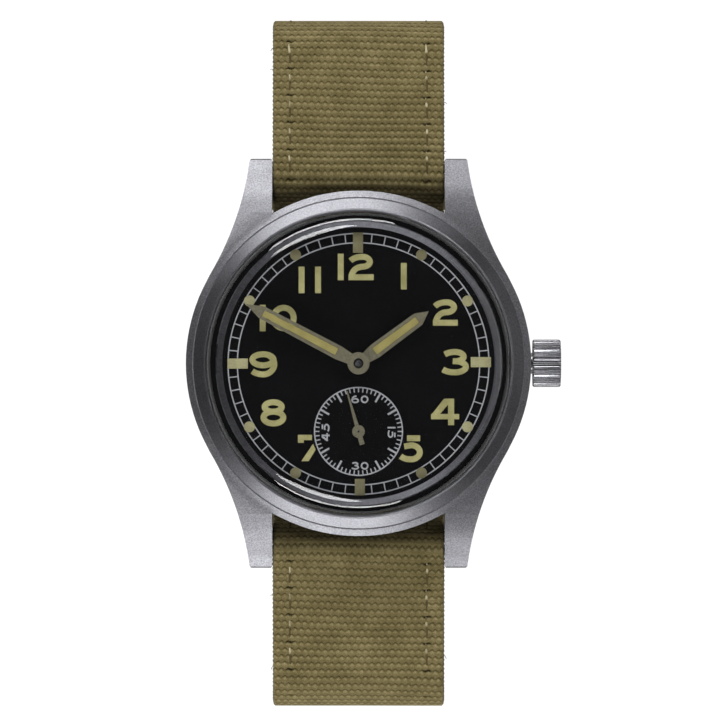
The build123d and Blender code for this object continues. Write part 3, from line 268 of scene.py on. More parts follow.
def ring_piece(points, steps):
    """A bmesh turned about the dial's axis, from (radius, height over the case back) points."""
    shape = bmesh.new()
    turn_profile(shape, [(radius, back_level + height) for radius, height in points], steps)
    bmesh.ops.remove_doubles(shape, verts=shape.verts, dist=0.001 * mm)
    bmesh.ops.recalc_face_normals(shape, faces=shape.faces)
    return shape


ring_steps = 224
bezel_satin = blasted_steel("bezel_satin", linear(105, 105, 109), linear(142, 142, 147), 0.4)
bezel_shape = ring_piece([
    (16.0, 6.7), (16.55, 6.7), (16.55, 7.2), (17.16, 7.2), (17.18, 7.24), (17.18, 7.66), (17.14, 7.7),
    (16.12, 8.38), (16.06, 8.4), (16.0, 8.36)], ring_steps)
bezel_piece = piece("bezel_ring", bezel_shape, bezel_satin, "case", 10.0)
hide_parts("bezel")
# Painted shade: the lip is the case's steel painted about half as dark, for its low place under the bezel.
lip_shaded_steel = blasted_steel("lip_shaded_satin", linear(62, 62, 66), linear(86, 86, 91), 0.56)
lip_shape = ring_piece([(14.06, 6.3), (14.5, 6.3), (14.56, 6.37), (14.56, 6.57), (14.52, 6.59)], ring_steps)
piece("dial_lip", lip_shape, lip_shaded_steel, "case", 10.0)

# Crystal: turned from clear acrylic rod and polished by hand. It stands high, with an upright skirt,
# a rounded shoulder and a low dome, and carries a few fine scuffs on the shoulder.

acrylic, acrylic_shader = finish_named("crystal_acrylic", 0.02, specular=0.5)
acrylic_shader.inputs["Base Color"].default_value = (0.985, 0.99, 0.985, 1.0)
acrylic_shader.inputs["Transmission Weight"].default_value = 1.0
acrylic_shader.inputs["IOR"].default_value = 1.49
acrylic_space = object_space(acrylic)
scuffs = noise(acrylic, acrylic_space, 0.6 * mm, 4.0, 0.7)
bump(acrylic, acrylic_shader, (scuffs, 0.003 * mm, 0.06))


def mix_by(material, factor, first, second):
    """Mixes two shaders by a factor."""
    node = node_in(material, "MixShader")
    for source, target in zip((factor, first, second), node.inputs):
        wire(material, source, target)
    return node.outputs["Shader"]


ray_kind = node_in(acrylic, "LightPath").outputs
open_way = node_in(acrylic, "BsdfTransparent").outputs["BSDF"]
lamp_way = mix_by(acrylic, ray_kind["Is Shadow Ray"], acrylic_shader.outputs["BSDF"], open_way)
soft_way = mix_by(acrylic, ray_kind["Is Diffuse Ray"], lamp_way, open_way)
wire(acrylic, soft_way, acrylic.node_tree.nodes["Material Output"].inputs["Surface"])


def dome(radius, edge_height, top_height, count):
    """(radius, height) points of a low dome, from its edge to the axis."""
    rise = top_height - edge_height
    sphere = (radius ** 2 + rise ** 2) / (2 * rise)
    found = []
    for number in range(count + 1):
        reach = radius * (1 - number / count)
        found.append((reach, top_height - sphere + math.sqrt(sphere ** 2 - reach ** 2)))
    return found


shoulder_reach, shoulder_height, shoulder_radius, shoulder_parts = 14.0, 8.15, 1.9, 16
shoulder_turns = [math.radians(82 * number / shoulder_parts) for number in range(shoulder_parts + 1)]
outside = [(shoulder_reach + shoulder_radius * math.cos(turn),
            shoulder_height + shoulder_radius * math.sin(turn)) for turn in shoulder_turns]
outside += dome(14.26, 10.03, 11.0, 14)[1:]
inside = dome(14.6, 8.75, 9.7, 14)[::-1]
crystal_shape = ring_piece([(15.84, 6.65), (15.9, 6.71)] + outside + inside + [(14.6, 6.65)], 192)
crystal_piece = piece("domed_crystal", crystal_shape, acrylic, "case", 50.0)
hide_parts("crystal")

# Seals: black rubber rings, moulded to size. One lies under the crystal, one in the groove of the
# case back and one inside the crown, round the case's tube.


def one_grain(name, roughness, size, dark, light, relief=None, detail=2.0, harshness=0.5, ends=(0.3, 0.7),
              **settings):
    """A finish from a dark to a light tone over one grain, raised by relief, (height in metres, strength)."""
    material, shader = finish_named(name, roughness, **settings)
    grain = noise(material, object_space(material), size, detail, harshness)
    wire(material, ramp(material, grain, (ends[0], dark), (ends[1], light)), shader.inputs["Base Color"])
    if relief:
        bump(material, shader, (grain, *relief))
    return material


rubber = one_grain("seal_black", 0.6, 0.2 * mm, linear(20, 20, 20), linear(33, 33, 34), (0.01 * mm, 0.3))
dress(rubber, "crystal_gasket", "case_back_gasket", "crown_gasket")

# Dial: a brass disc sprayed matt black and held to the plate by its feet. The lacquer is almost
# smooth, with the finest dust in it.

dial_top = back_level + 6.3
dial_lacquer, dial_shader = finish_named("dial_lacquer", 0.7, specular=0.03)
dial_space = object_space(dial_lacquer)
dial_dust = noise(dial_lacquer, dial_space, 0.07 * mm, 2.0, 0.6)
dial_clouds = noise(dial_lacquer, dial_space, 6 * mm, 2.0)
wire(dial_lacquer, ramp(dial_lacquer, dial_clouds, (0.3, linear(3, 3, 4)), (0.7, linear(6, 6, 8))),
     dial_shader.inputs["Base Color"])
wire(dial_lacquer, spread(dial_lacquer, dial_dust, 0.62, 0.76), dial_shader.inputs["Roughness"])
bump(dial_lacquer, dial_shader, (dial_dust, 0.0006 * mm, 0.3))
dress(dial_lacquer, "dial")

# Track and small seconds scale: pad-printed on the lacquer in grey-white ink, a few hundredths of a
# millimetre thick.

print_rise = 0.02
ink = one_grain("track_ink", 0.55, 0.12 * mm, linear(122, 124, 130), linear(172, 174, 178), (0.004 * mm, 0.3),
                3.0, 0.6, (0.25, 0.6))


def print_ring(shape, centre_y, middle, width, low, high, steps):
    """Adds a flat printed circle, about a point on the dial's 6 o'clock line."""
    inner, outer = middle - width / 2, middle + width / 2
    turn_profile(shape, ((inner, low), (outer, low), (outer, high), (inner, high)), steps, centre_y)


def print_bar(shape, centre, angle, inner, outer, width, low, high):
    """Adds a straight mark that points away from a centre, at an angle clockwise from 12 o'clock."""
    turn = Matrix.Rotation(math.radians(-angle), 4, "Z")
    size = Matrix.Diagonal((width * mm, (outer - inner) * mm, (high - low) * mm, 1))
    place = Matrix.Translation((0, (inner + outer) / 2 * mm, (low + high) / 2 * mm))
    centre_at = Matrix.Translation((centre[0] * mm, centre[1] * mm, 0))
    bmesh.ops.create_cube(shape, size=1.0, matrix=centre_at @ turn @ place @ size)


def close_print(shape):
    """Merges doubles and turns every face outward."""
    bmesh.ops.remove_doubles(shape, verts=shape.verts, dist=0.0003 * mm)
    bmesh.ops.recalc_face_normals(shape, faces=shape.faces)


print_high = dial_top + print_rise
bar_high = print_high - 0.001
track_y, track_outer, track_inner = -0.06, 13.5, 12.54
track = bmesh.new()
for track_radius in (track_outer, track_inner):
    print_ring(track, track_y, track_radius, 0.12, dial_top, print_high, 180)
for minute in range(60):
    if minute % 15:
        print_bar(track, (0, track_y), minute * 6, track_inner + 0.05, track_outer - 0.05, 0.11, dial_top,
                  bar_high)
close_print(track)
piece("minute_track", track, ink, "case")

seconds_y, scale_reach = -7.05, 4.5
scale_marks = bmesh.new()
print_ring(scale_marks, seconds_y, scale_reach + 0.05, 0.13, dial_top, print_high, 120)
for second in range(60):
    length, width = (1.0, 0.2) if second % 5 == 0 and second % 15 else (0.45, 0.12)
    print_bar(scale_marks, (0, seconds_y), second * 6, scale_reach - length, scale_reach, width, dial_top,
              bar_high)
close_print(scale_marks)
piece("seconds_scale", scale_marks, ink, "case")

# Numerals: luminous paint laid on by stencil, cream turned olive with age, thicker than the print. A
# digit is drawn by the middle of its strokes, or as straight-edged patches where their width changes, on
# a square from (0, 0) to (1, 1).


def arc(centre_x, centre_y, reach_x, reach_y, start, end, step=11):
    """Points of an arc of an ellipse, in degrees from +X, counterclockwise when end is larger."""
    count = max(2, round(abs(end - start) / step))
    turns = [math.radians(start + (end - start) * number / count) for number in range(count + 1)]
    return [(centre_x + reach_x * math.cos(t), centre_y + reach_y * math.sin(t)) for t in turns]


def two_bowls(top, bottom):
    """Stroke of a 3: an open round bowl over a larger one, with a short bar between them."""
    return [
        arc(0.5, 0.62, 0.6, 0.38, 138, 90) + top[1:] + [(0.41, 0.545)],
        [(0.45, 0.545)] + bottom + arc(0.48, 0.4, 0.66, 0.4, -90, -141)[1:]]


digit_strokes = {
    "0": [arc(0.5, 0.5, 0.5, 0.5, 0, 360)],
    "1": [[(0.5, -0.146), (0.5, 1.146)]],
    "2": [arc(0.55, 0.62, 0.68, 0.38, 152, 90) + arc(0.55, 0.755, 0.41, 0.245, 90, -90)[1:]
          + arc(0.55, 0.0, 0.55, 0.51, 90, 180)[1:],
          [(-0.157, 0.0), (1.157, 0.0)]],
    "3": two_bowls(arc(0.5, 0.77, 0.4, 0.23, 90, -90), arc(0.5, 0.272, 0.5, 0.272, 90, -90)),
    "5": [[(0.275, 1.02), (1.02, 1.02)],
          [(0.12, 0.62)] + arc(0.5, 0.335, 0.5, 0.345, 90, -90)
          + arc(0.46, 0.36, 0.66, 0.37, -90, -145)[1:]],
    "6": [arc(0.5, 0.3, 0.5, 0.3, 0, 360), arc(0.6, 0.38, 0.6, 0.62, 180, 78)],
    "8": [arc(0.485, 0.79, 0.435, 0.23, 0, 360), arc(0.495, 0.271, 0.505, 0.289, 0, 360)],
    "9": [arc(0.487, 0.715, 0.478, 0.272, 0, 360),
          arc(0.495, 0.5, 0.505, 0.5, 62, -90) + arc(0.52, 0.37, 0.62, 0.37, -90, -146)[1:]]}
digit_plates = {
    "4": [[(0.636, -0.146), (0.909, -0.146), (0.909, 1.146), (0.636, 1.146)],
          [(-0.134, 0.14), (1.137, 0.14), (1.137, 0.398), (-0.134, 0.398)],
          [(-0.134, 0.345), (0.455, 1.146), (0.8, 1.146), (0.8, 1.02), (0.69, 0.93), (0.26, 0.38),
           (-0.134, 0.3)]],
    "7": [[(-0.257, 0.885), (0.944, 0.885), (0.944, 1.145), (-0.257, 1.145)],
          [(-0.257, 0.755), (0.253, 0.755), (0.253, 1.0), (-0.257, 1.0)],
          [(1.043, 0.709), (1.257, 0.412), (0.664, -0.14), (0.039, -0.14)]]}


def solid_object(name, shape):
    """A passing object for a closed bmesh."""
    close_print(shape)
    return mesh_object(name, shape)


def final_mesh(made):
    """Mesh of an object with its modifiers applied."""
    bpy.context.view_layer.update()
    return bpy.data.meshes.new_from_object(made.evaluated_get(bpy.context.evaluated_depsgraph_get()))


def stroke_solid(points, stroke, rise):
    """A painted stroke of even width along points, as a closed bmesh."""
    curve = bpy.data.curves.new("stroke", "CURVE")
    curve.dimensions = "3D"
    curve.extrude = rise / 2 * mm
    spline = curve.splines.new("POLY")
    closed = math.dist(points[0], points[-1]) < 1e-6
    kept = points[:-1] if closed else points
    spline.points.add(len(kept) - 1)
    spline.use_cyclic_u = closed
    for point, (x, y) in zip(spline.points, kept):
        point.co = (x * mm, y * mm, 0.0, 1.0)
    drawn = linked("stroke", curve)
    walls = linked("stroke", bpy.data.meshes.new_from_object(drawn))
    thick = walls.modifiers.new("stroke", "SOLIDIFY")
    thick.thickness, thick.offset, thick.use_even_offset, thick.use_rim = stroke * mm, 0.0, True, True
    shape = bmesh.new()
    shape.from_mesh(final_mesh(walls))
    bpy.data.objects.remove(drawn)
    bpy.data.objects.remove(walls)
    return shape


def plate_solid(points, rise):
    """A painted patch with straight edges, as a closed bmesh."""
    shape = bmesh.new()
    outline = shape.faces.new([shape.verts.new((x * mm, y * mm, -rise / 2 * mm)) for x, y in points])
    top = bmesh.ops.extrude_face_region(shape, geom=[outline], use_keep_orig=True)
    raised = [part for part in top["geom"] if isinstance(part, bmesh.types.BMVert)]
    bmesh.ops.translate(shape, vec=(0, 0, rise * mm), verts=raised)
    return shape


def on_square(points, left, bottom, width, height):
    """Points of a digit's own square, on a rectangle in millimetres about the numeral's middle."""
    return [(left + x * width, bottom + y * height) for x, y in points]


def painted_digits(text, centre, height, width, gap, stroke, rise, turn=0.0):
    """Digits as one closed bmesh, laid on the dial."""
    widths = [stroke if digit == "1" else width for digit in text]
    left = -(sum(widths) + gap * (len(text) - 1)) / 2
    solids = []
    for digit, digit_width in zip(text, widths):
        square = (left + stroke / 2, -height / 2 + stroke / 2, digit_width - stroke, height - stroke)
        for points in digit_strokes.get(digit, []):
            solids.append(solid_object("stroke", stroke_solid(on_square(points, *square), stroke, rise)))
        for points in digit_plates.get(digit, []):
            solids.append(solid_object("plate", plate_solid(on_square(points, *square), rise)))
        left += digit_width + gap
    for other in solids[1:]:
        union = solids[0].modifiers.new("union", "BOOLEAN")
        union.operation, union.object, union.solver = "UNION", other, "MANIFOLD"
    shape = bmesh.new()
    shape.from_mesh(final_mesh(solids[0]))
    for used in solids:
        bpy.data.objects.remove(used)
    place = Matrix.Translation((centre[0] * mm, centre[1] * mm, (dial_top + rise / 2) * mm))
    bmesh.ops.transform(shape, matrix=place @ Matrix.Rotation(math.radians(turn), 4, "Z"),
                        verts=shape.verts)
    return shape


def joined(name, shapes):
    """One bmesh from several."""
    whole = bmesh.new()
    for shape in shapes:
        mesh = bpy.data.meshes.new(name)
        shape.to_mesh(mesh)
        shape.free()
        whole.from_mesh(mesh)
        bpy.data.meshes.remove(mesh)
    return whole


def math_of(material, operation, *values):
    """A math node on sockets and plain numbers."""
    node = node_in(material, "Math", operation=operation)
    for place, value in enumerate(values):
        if isinstance(value, (int, float)):
            node.inputs[place].default_value = value
        else:
            wire(material, value, node.inputs[place])
    return node.outputs[0]


def luminous(name, dark, light):
    """Aged luminous paint: grainy, matt and a little uneven in tone."""
    material, shader = finish_named(name, 0.75, specular=0.2)
    space = object_space(material)
    grain = noise(material, space, 0.16 * mm, 4.0, 0.7)
    clouds = noise(material, space, 1.6 * mm, 2.0)
    tone = math_of(material, "MULTIPLY_ADD", grain, 0.45, math_of(material, "MULTIPLY", clouds, 0.55))
    wire(material, ramp(material, tone, (0.34, dark), (0.64, light)), shader.inputs["Base Color"])
    bump(material, shader, (grain, 0.02 * mm, 0.4))
    return material


numeral_paint = luminous("numeral_lume", linear(144, 140, 92), linear(180, 175, 124))
numeral_height, numeral_stroke, numeral_rise = 2.73, 0.61, 0.05
numeral_places = [
    ("12", -0.29, 9.97, 2.59), ("1", 4.69, 9.02, 2.59), ("2", 8.99, 5.26, 2.57), ("3", 9.96, 0.12, 2.93),
    ("4", 8.96, -5.03, 2.9), ("5", 5.43, -8.86, 2.45), ("7", -5.36, -8.77, 1.82), ("8", -8.8, -5.13, 2.65),
    ("9", -9.86, -0.09, 2.9), ("10", -8.31, 4.69, 2.7), ("11", -5.04, 8.63, 2.6)]
numeral_shapes = []
for text, place_x, place_y, digit_width in numeral_places:
    digit_gap = 1.09 if text == "11" else 0.51
    numeral_shapes.append(painted_digits(
        text, (place_x, place_y), numeral_height, digit_width, digit_gap, numeral_stroke, numeral_rise))
piece("dial_numerals", joined("numerals", numeral_shapes), numeral_paint, "case")

small_size, small_gap, small_stroke = 0.8, 0.18, 0.16
small_shapes = []
for text, place_x, place_y, turn in (
        ("60", 0.14, seconds_y + 3.32, 0.0), ("15", 3.42, seconds_y - 0.1, -90.0),
        ("30", 0.14, seconds_y - 3.56, 0.0), ("45", -3.4, seconds_y - 0.1, 90.0)):
    small_shapes.append(painted_digits(
        text, (place_x, place_y), small_size, small_size, small_gap, small_stroke, print_rise, turn))
piece("seconds_numerals", joined("small_numerals", small_shapes), ink, "case")

# Hour marks: bars at 12, 3, 6 and 9 and dots at the other hours, of the same paint laid on thickly. The
# bars at 12 and 6 and the dots at 1, 5, 7 and 11 carry painted shade: a darker copy of the side marks' paint.

marks, side_marks = bmesh.new(), bmesh.new()
bar_width, dot_radius, dot_reach, mark_rise = 1.05, 0.57, 13.03, 0.09
for angle, shift, inner, outer in (
        (0, -0.05, 11.5, 13.6), (90, 0.12, 11.62, 13.7), (180, 0.14, 11.9, 13.6),
        (270, -0.03, 11.45, 13.56)):
    upright = angle % 180 == 0
    print_bar(marks if upright else side_marks, (shift, track_y) if upright else (0.0, shift), angle,
              inner, outer, bar_width, dial_top, dial_top + mark_rise)
for hour in (1, 2, 4, 5, 7, 8, 10, 11):
    turn = math.radians(hour * 30)
    place = Matrix.Translation((dot_reach * mm * math.sin(turn), (track_y + dot_reach * math.cos(turn)) * mm,
                                (dial_top + mark_rise / 2) * mm))
    bmesh.ops.create_cone(
        marks if hour % 2 else side_marks, cap_ends=True, segments=28, radius1=dot_radius * mm,
        radius2=dot_radius * mm, depth=mark_rise * mm, matrix=place)
# Painted shade: the marks at 12, 6 and the dots near them get a darker copy of the paint on the side marks.
shaded_mark_paint = luminous("mark_lume", linear(106, 101, 74), linear(132, 128, 98))
side_lit_paint = luminous("side_mark_lume", linear(148, 144, 108), linear(180, 176, 136))
for name, shape, paint in (("hour_marks", marks, shaded_mark_paint),
                           ("side_hour_marks", side_marks, side_lit_paint)):
    bevel_sharp(shape, 0.035 * mm, 40)
    piece(name, shape, paint, "case")

# Hands: stamped brass, faceted along their edges and lacquered grey-olive. The hour and minute hands
# carry luminous paint in their windows; the small seconds hand is a plain needle. On the minute hand's
# hub a thin flat ring of painted shade, for a countersink, lies round a small polished post.

hand_lacquer = one_grain("hand_lacquer", 0.5, 0.18 * mm, linear(90, 86, 68), linear(118, 114, 95),
                         (0.006 * mm, 0.35), 3.0, 0.6, specular=0.3)
hand_lume = luminous("hand_lume", linear(138, 129, 76), linear(168, 158, 98))
for node, body, facet in (("hour_hand", "hour_train", 0.05), ("minute_hand", "minute_train", 0.05),
                          ("seconds_hand", "seconds_train", 0.02)):
    hand = copy_of(node)
    bevel_sharp(hand, facet * mm, 50)
    hand_piece = piece(node + "_lacquered", hand, hand_lacquer, body, 20.0)
    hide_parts(node)
for node, body in (("hour_hand_fill", "hour_train"), ("minute_hand_fill", "minute_train")):
    fill = copy_of(node)
    bevel_sharp(fill, 0.03 * mm, 50)
    fill_piece = piece(node + "_paint", fill, hand_lume, body, 50.0)
    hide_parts(node)

hub_top, post_radius, post_sink = back_level + 7.6, 0.27, 0.12
hub_ring = bmesh.new()
print_ring(hub_ring, 0.0, 0.37, 0.3, hub_top, hub_top + 0.008, 48)
close_print(hub_ring)
# Painted shade: a flat dark ring on the hub stands in for the shade of a countersink.
shade_ring_steel = one_grain("hub_shade_ring_paint", 0.3, 0.15 * mm, linear(18, 18, 20), linear(52, 50, 48), metallic=1.0)
piece("hub_painted_shade_ring", hub_ring, shade_ring_steel, "minute_train")
post = bmesh.new()
bmesh.ops.create_uvsphere(post, u_segments=32, v_segments=16, radius=post_radius * mm,
                          matrix=Matrix.Translation((0, 0, (hub_top - post_sink) * mm)))
bmesh.ops.bisect_plane(post, geom=post.verts[:] + post.edges[:] + post.faces[:],
                       plane_co=(0, 0, hub_top * mm), plane_no=(0, 0, 1), clear_inner=True)
bmesh.ops.holes_fill(post, edges=[edge for edge in post.edges if edge.is_boundary], sides=0)
bmesh.ops.recalc_face_normals(post, faces=post.faces)
post_steel = turned_steel("post_polished", linear(168, 168, 170), linear(214, 214, 214), 0.2)
piece("hub_post", post, post_steel, "minute_train")

# Crown: turned steel with ridges cut along it for grip, blasted like the case. It is hollow, to run over
# the case's tube.

crown_grain = blasted_steel("crown_blasted", linear(111, 111, 115), linear(179, 179, 183), 0.3)
ridge_count, ridge_top, cavity_radius, cavity_end = 34, 2.48, 1.75, 19.65
stem_height = back_level + 3.6
ridge_outline = (
    (0.0, 0.22), (0.09, 0.17), (0.2, 0.05), (0.32, 0.0), (0.68, 0.0), (0.8, 0.05), (0.91, 0.17))
crown_stations = (
    (cavity_end, cavity_radius), (18.15, cavity_radius), (18.15, 2.32), (18.2, 2.43), (18.3, ridge_top),
    (20.86, ridge_top), (21.0, 2.44), (21.08, 2.34), (21.13, 1.5))
crown_shape = bmesh.new()
loops = []
for place_x, reach in crown_stations:
    loop = []
    for ridge in range(ridge_count):
        for share, depth in ridge_outline:
            turn = math.tau * (ridge + share) / ridge_count
            radius = min(reach, ridge_top - depth)
            loop.append(crown_shape.verts.new((
                place_x * mm, radius * math.cos(turn) * mm, (stem_height + radius * math.sin(turn)) * mm)))
    loops.append(loop)
for loop, after in zip(loops, loops[1:]):
    for index in range(len(loop)):
        crown_shape.faces.new((loop[index - 1], loop[index], after[index], after[index - 1]))
for loop in (loops[0], loops[-1]):
    crown_shape.faces.new(loop)
bmesh.ops.recalc_face_normals(crown_shape, faces=crown_shape.faces)
crown_piece = piece("ridged_crown", crown_shape, crown_grain, "crown_stem", 24.0)
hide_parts("crown")

# Movement, out of sight behind the case back: gilt brass plate and bridges with a fine grain, brass
# wheels, hardened steel arbors and screws, ruby jewels, and a moulded ring that holds it all.


def brushed_metal(name, dark, light, roughness, scale):
    """Brass or steel with straight brushed grain."""
    material, shader = finish_named(name, roughness, metallic=1.0)
    space = object_space(material, scale=(1.0, scale, scale))
    grain = noise(material, space, 0.5 * mm, 4.0, 0.65)
    wire(material, ramp(material, grain, (0.3, dark), (0.7, light)), shader.inputs["Base Color"])
    wire(material, spread(material, grain, roughness - 0.06, roughness + 0.08), shader.inputs["Roughness"])
    bump(material, shader, (grain, 0.004 * mm, 0.4))
    return material


gilt = brushed_metal("gilt_grained", linear(150, 118, 62), linear(206, 170, 104), 0.34, 0.12)
brass = brushed_metal("wheel_brass_grained", linear(160, 126, 60), linear(214, 178, 98), 0.26, 0.3)
hardened = brushed_metal("steel_polished", linear(128, 130, 134), linear(184, 186, 190), 0.16, 0.2)
spring_steel = brushed_metal("spring_blued", linear(62, 68, 84), linear(104, 110, 126), 0.24, 0.3)
ruby = one_grain("ruby_red", 0.06, 0.3 * mm, linear(120, 8, 24), linear(176, 22, 46), specular=0.7)
moulded = one_grain("spacer_moulded", 0.5, 0.25 * mm, linear(196, 194, 186), linear(214, 212, 205),
                    (0.008 * mm, 0.3))
dress(gilt, "main_plate", "barrel_bridge", "train_bridge", "balance_cock", "pallet_bridge")
dress(brass, "centre_wheel", "third_wheel", "fourth_wheel", "barrel", "balance_wheel", "hour_wheel",
      "minute_wheel")
dress(hardened, "bridge_screws", "winding_pinion", "sliding_pinion", "winding_stem", "crown_wheel",
      "ratchet_wheel", "barrel_arbor", "click", "centre_pinion", "cannon_pinion", "third_pinion",
      "fourth_pinion", "escape_wheel", "escape_pinion", "pallet_fork", "balance_staff")
dress(spring_steel, "mainspring", "hairspring")
dress(ruby, "jewels")
dress(moulded, "movement_ring")

# Spring bars: bright steel tubes with a sprung pin at each end. The pins press in to pass the lugs and
# spring out into their blind holes.

dress(hardened, "upper_bar_sleeve", "lower_bar_sleeve", "upper_right_bar_pin", "upper_left_bar_pin",
      "lower_right_bar_pin", "lower_left_bar_pin")

# Strap: two layers of heavy cotton webbing in khaki, one over the other, sewn along both edges. Ribs
# of weft run across it, and the warp crosses them as small staggered knots. It is one length, folded
# round the buckle's bar at one end and cut round at the other.

strap_width, strap_thickness = 18.0, 1.3
weft_pitch, warp_pitch, selvedge = 0.73, 0.7, 0.25
seam_x, needle_dent, calm_rows = 7.15, 2.2, 12


def webbing(name, dark, middle, light):
    """Woven cotton: the weave follows the piece's own UV map, in whole weft ribs and warp ends."""
    material, shader = finish_named(name, 0.92, specular=0.08)
    shader.inputs["Sheen Weight"].default_value = 0.08

    def worked(operation, *values):
        """A math node of this material."""
        return math_of(material, operation, *values)

    weave = node_in(material, "UVMap", uv_map="weave")
    parts = node_in(material, "SeparateXYZ")
    wire(material, weave.outputs["UV"], parts.inputs[0])
    across, along = parts.outputs["X"], parts.outputs["Y"]
    space = object_space(material)
    fibres = noise(material, space, 0.09 * mm, 4.0, 0.75)
    patches = noise(material, space, 2.4 * mm, 4.0, 0.65)
    wander = worked("MULTIPLY_ADD", noise(material, space, 0.5 * mm, 3.0), 0.5, -0.25)
    border = worked("ROUND", along)
    stagger = worked("MULTIPLY", worked("PINGPONG", border, 1.0), 0.5)
    swing_turn = worked("ADD", worked("ADD", across, wander), stagger)
    swing = worked("COSINE", worked("MULTIPLY", swing_turn, math.tau))
    from_border = worked("SUBTRACT", worked("SUBTRACT", along, border), worked("MULTIPLY", swing, 0.08))
    furrow = worked("EXPONENT", worked("MULTIPLY", worked("MULTIPLY", from_border, from_border), -60.0))
    crossing = worked("MULTIPLY_ADD", swing, -0.5, 0.5)
    over = worked("ADD", from_border, -0.3)
    knot = worked("EXPONENT", worked("MULTIPLY", worked("MULTIPLY", over, over), -24.0))
    # Painted shade darkens the pits where the warp crosses the furrows; a painted highlight lightens the
    # raised knots.
    pit, knot_highlight = worked("MULTIPLY", furrow, crossing), worked("MULTIPLY", knot, crossing)
    height = worked("MULTIPLY_ADD", furrow, -0.6, 1.0)
    sunk = node_in(material, "Attribute", attribute_name="hole", attribute_type="GEOMETRY")
    tone = worked("MULTIPLY_ADD", fibres, 0.9, worked("MULTIPLY", patches, 0.35))
    # Painted shade in the furrows, pits and needle holes, and a painted highlight on the knots.
    for shade, weight in ((furrow, -0.12), (pit, -0.22), (knot_highlight, 0.16), (sunk.outputs["Fac"], -0.25)):
        tone = worked("MULTIPLY_ADD", shade, weight, tone)
    colour = ramp(material, tone, (0.2, dark), (0.6, middle), (0.95, light))
    wire(material, colour, shader.inputs["Base Color"])
    bump(material, shader, (height, 0.06 * mm, 0.6), (fibres, 0.035 * mm, 0.6))
    return material


def webbing_line(corners, radii, step):
    """(point, heading) pairs at even steps along straight runs with rounded corners, in millimetres."""
    runs, last = [], Vector(corners[0])
    for index, radius in enumerate(radii, start=1):
        before, at, after = (Vector(corners[i]) for i in (index - 1, index, index + 1))
        into, out = (at - before).normalized(), (after - at).normalized()
        turn = math.atan2(into.x * out.y - into.y * out.x, into.dot(out))
        cut = radius * math.tan(abs(turn) / 2)
        side = math.copysign(1, turn)
        runs.append(((at - into * cut - last).length, last, into, 0.0))
        runs.append((radius * abs(turn), at - into * cut, into, side / radius))
        last = at + out * cut
    final = Vector(corners[-1]) - last
    runs.append((final.length, last, final.normalized(), 0.0))
    found, ahead = [], 0.0
    for length, start, heading, curvature in runs:
        while ahead < length:
            angle = curvature * ahead
            turned = Matrix.Rotation(angle, 2) @ heading
            if curvature:
                left = Vector((-heading.y, heading.x)) / curvature
                point = start + left - Matrix.Rotation(angle, 2) @ left
            else:
                point = start + heading * ahead
            found.append((point, turned))
            ahead += step
        ahead -= length
    return found


def weave_height(row):
    """Height of the cloth from 0 to 1 at a row, of which a weft rib has four."""
    return (0.0, 0.8, 1.0, 0.8)[row % 4]


def weave_swing(column, row):
    """How far a rib's border swings to and fro along the strap, from -1 to 1."""
    border = (row + 2) // 4
    share = (1.0, 0.5, 0.0, 0.5)[row % 4]
    return share if (column + border) % 2 == 0 else -share


def webbing_shape(line, width, thickness, relief, to_space, first_row=0, closed=False, tip=None, holes=()):
    """A flat woven band along a line, as one closed bmesh with the UV map 'weave'.

    to_space turns (across, point of the line's plane) into a place; tip is a half-width by row; holes
    are the rows at which a needle has gone through both seams."""
    half_count = round((width / 2 - selvedge) / (warp_pitch / 2))
    half_flat = half_count * warp_pitch / 2
    half_thick = thickness / 2
    edge_out = width / 2 - half_flat

    def round_edge(side, turns):
        """Points round one selvedge of the band."""
        found = []
        for turn in turns:
            c, s = math.cos(math.radians(turn)), math.sin(math.radians(turn))
            found.append((side * half_flat + edge_out * c, half_thick * s, c, s, side * (half_count + 1)))
        return found

    ends = range(-half_count, half_count + 1)
    section = [(k * warp_pitch / 2, half_thick, 0.0, 1.0, k) for k in ends] + round_edge(1, (50, 0, -50))
    section += [(k * warp_pitch / 2, -half_thick, 0.0, -1.0, k) for k in reversed(ends)]
    section += round_edge(-1, (-130, 180, 130))
    section.append(section[0])
    rows = len(line) + (1 if closed else 0)
    shape = bmesh.new()
    bmesh.ops.create_grid(shape, x_segments=len(section) - 1, y_segments=rows - 1, size=1.0)
    weave = shape.loops.layers.uv.new("weave")
    sunk = shape.verts.layers.float.new("hole")
    grid = {}
    for vert in shape.verts:
        column = round((vert.co.x + 1) / 2 * (len(section) - 1))
        row = round((vert.co.y + 1) / 2 * (rows - 1))
        grid[vert] = (column, row)
    for face in shape.faces:
        for loop in face.loops:
            column, row = grid[loop.vert]
            loop[weave].uv = (section[column][4] / 2, (first_row + row) / 4)
    for vert, (column, row) in grid.items():
        across, off, out_x, out_z, k = section[column]
        point, heading = line[row % len(line)]
        number = first_row + row
        height = weave_height(number) if abs(out_x) < 0.5 else 0.6
        if number in holes and abs(abs(across) - seam_x) < 0.3:
            height -= needle_dent
            vert[sunk] = 1.0
        sink = relief * (1 - height)
        half = width / 2 if tip is None else tip(row)
        fray = 0.05 * out_x * math.sin(2.4 * number + across) if abs(out_x) > 0.5 else 0.0
        across = (across - out_x * sink + fray) * half / (width / 2)
        off -= out_z * sink
        if not closed:
            slide = 0.018 * across + 0.06 * math.sin(number * 0.061 + across * 0.35)
            slide += 0.05 * weave_swing(k, number) if abs(out_x) < 0.5 else 0.0
            point = point + heading * slide * min(1.0, row / calm_rows, (rows - 1 - row) / calm_rows)
        normal = Vector((-heading.y, heading.x))
        vert.co = to_space(across, point + normal * off) * mm
    bmesh.ops.remove_doubles(shape, verts=shape.verts, dist=0.002 * mm)
    if not closed:
        bmesh.ops.holes_fill(shape, edges=[e for e in shape.edges if e.is_boundary], sides=0)
    bmesh.ops.recalc_face_normals(shape, faces=shape.faces)
    return shape


def strap_space(across, point):
    """The strap runs in the YZ plane, with its width along X."""
    return Vector((across, point.x, point.y))


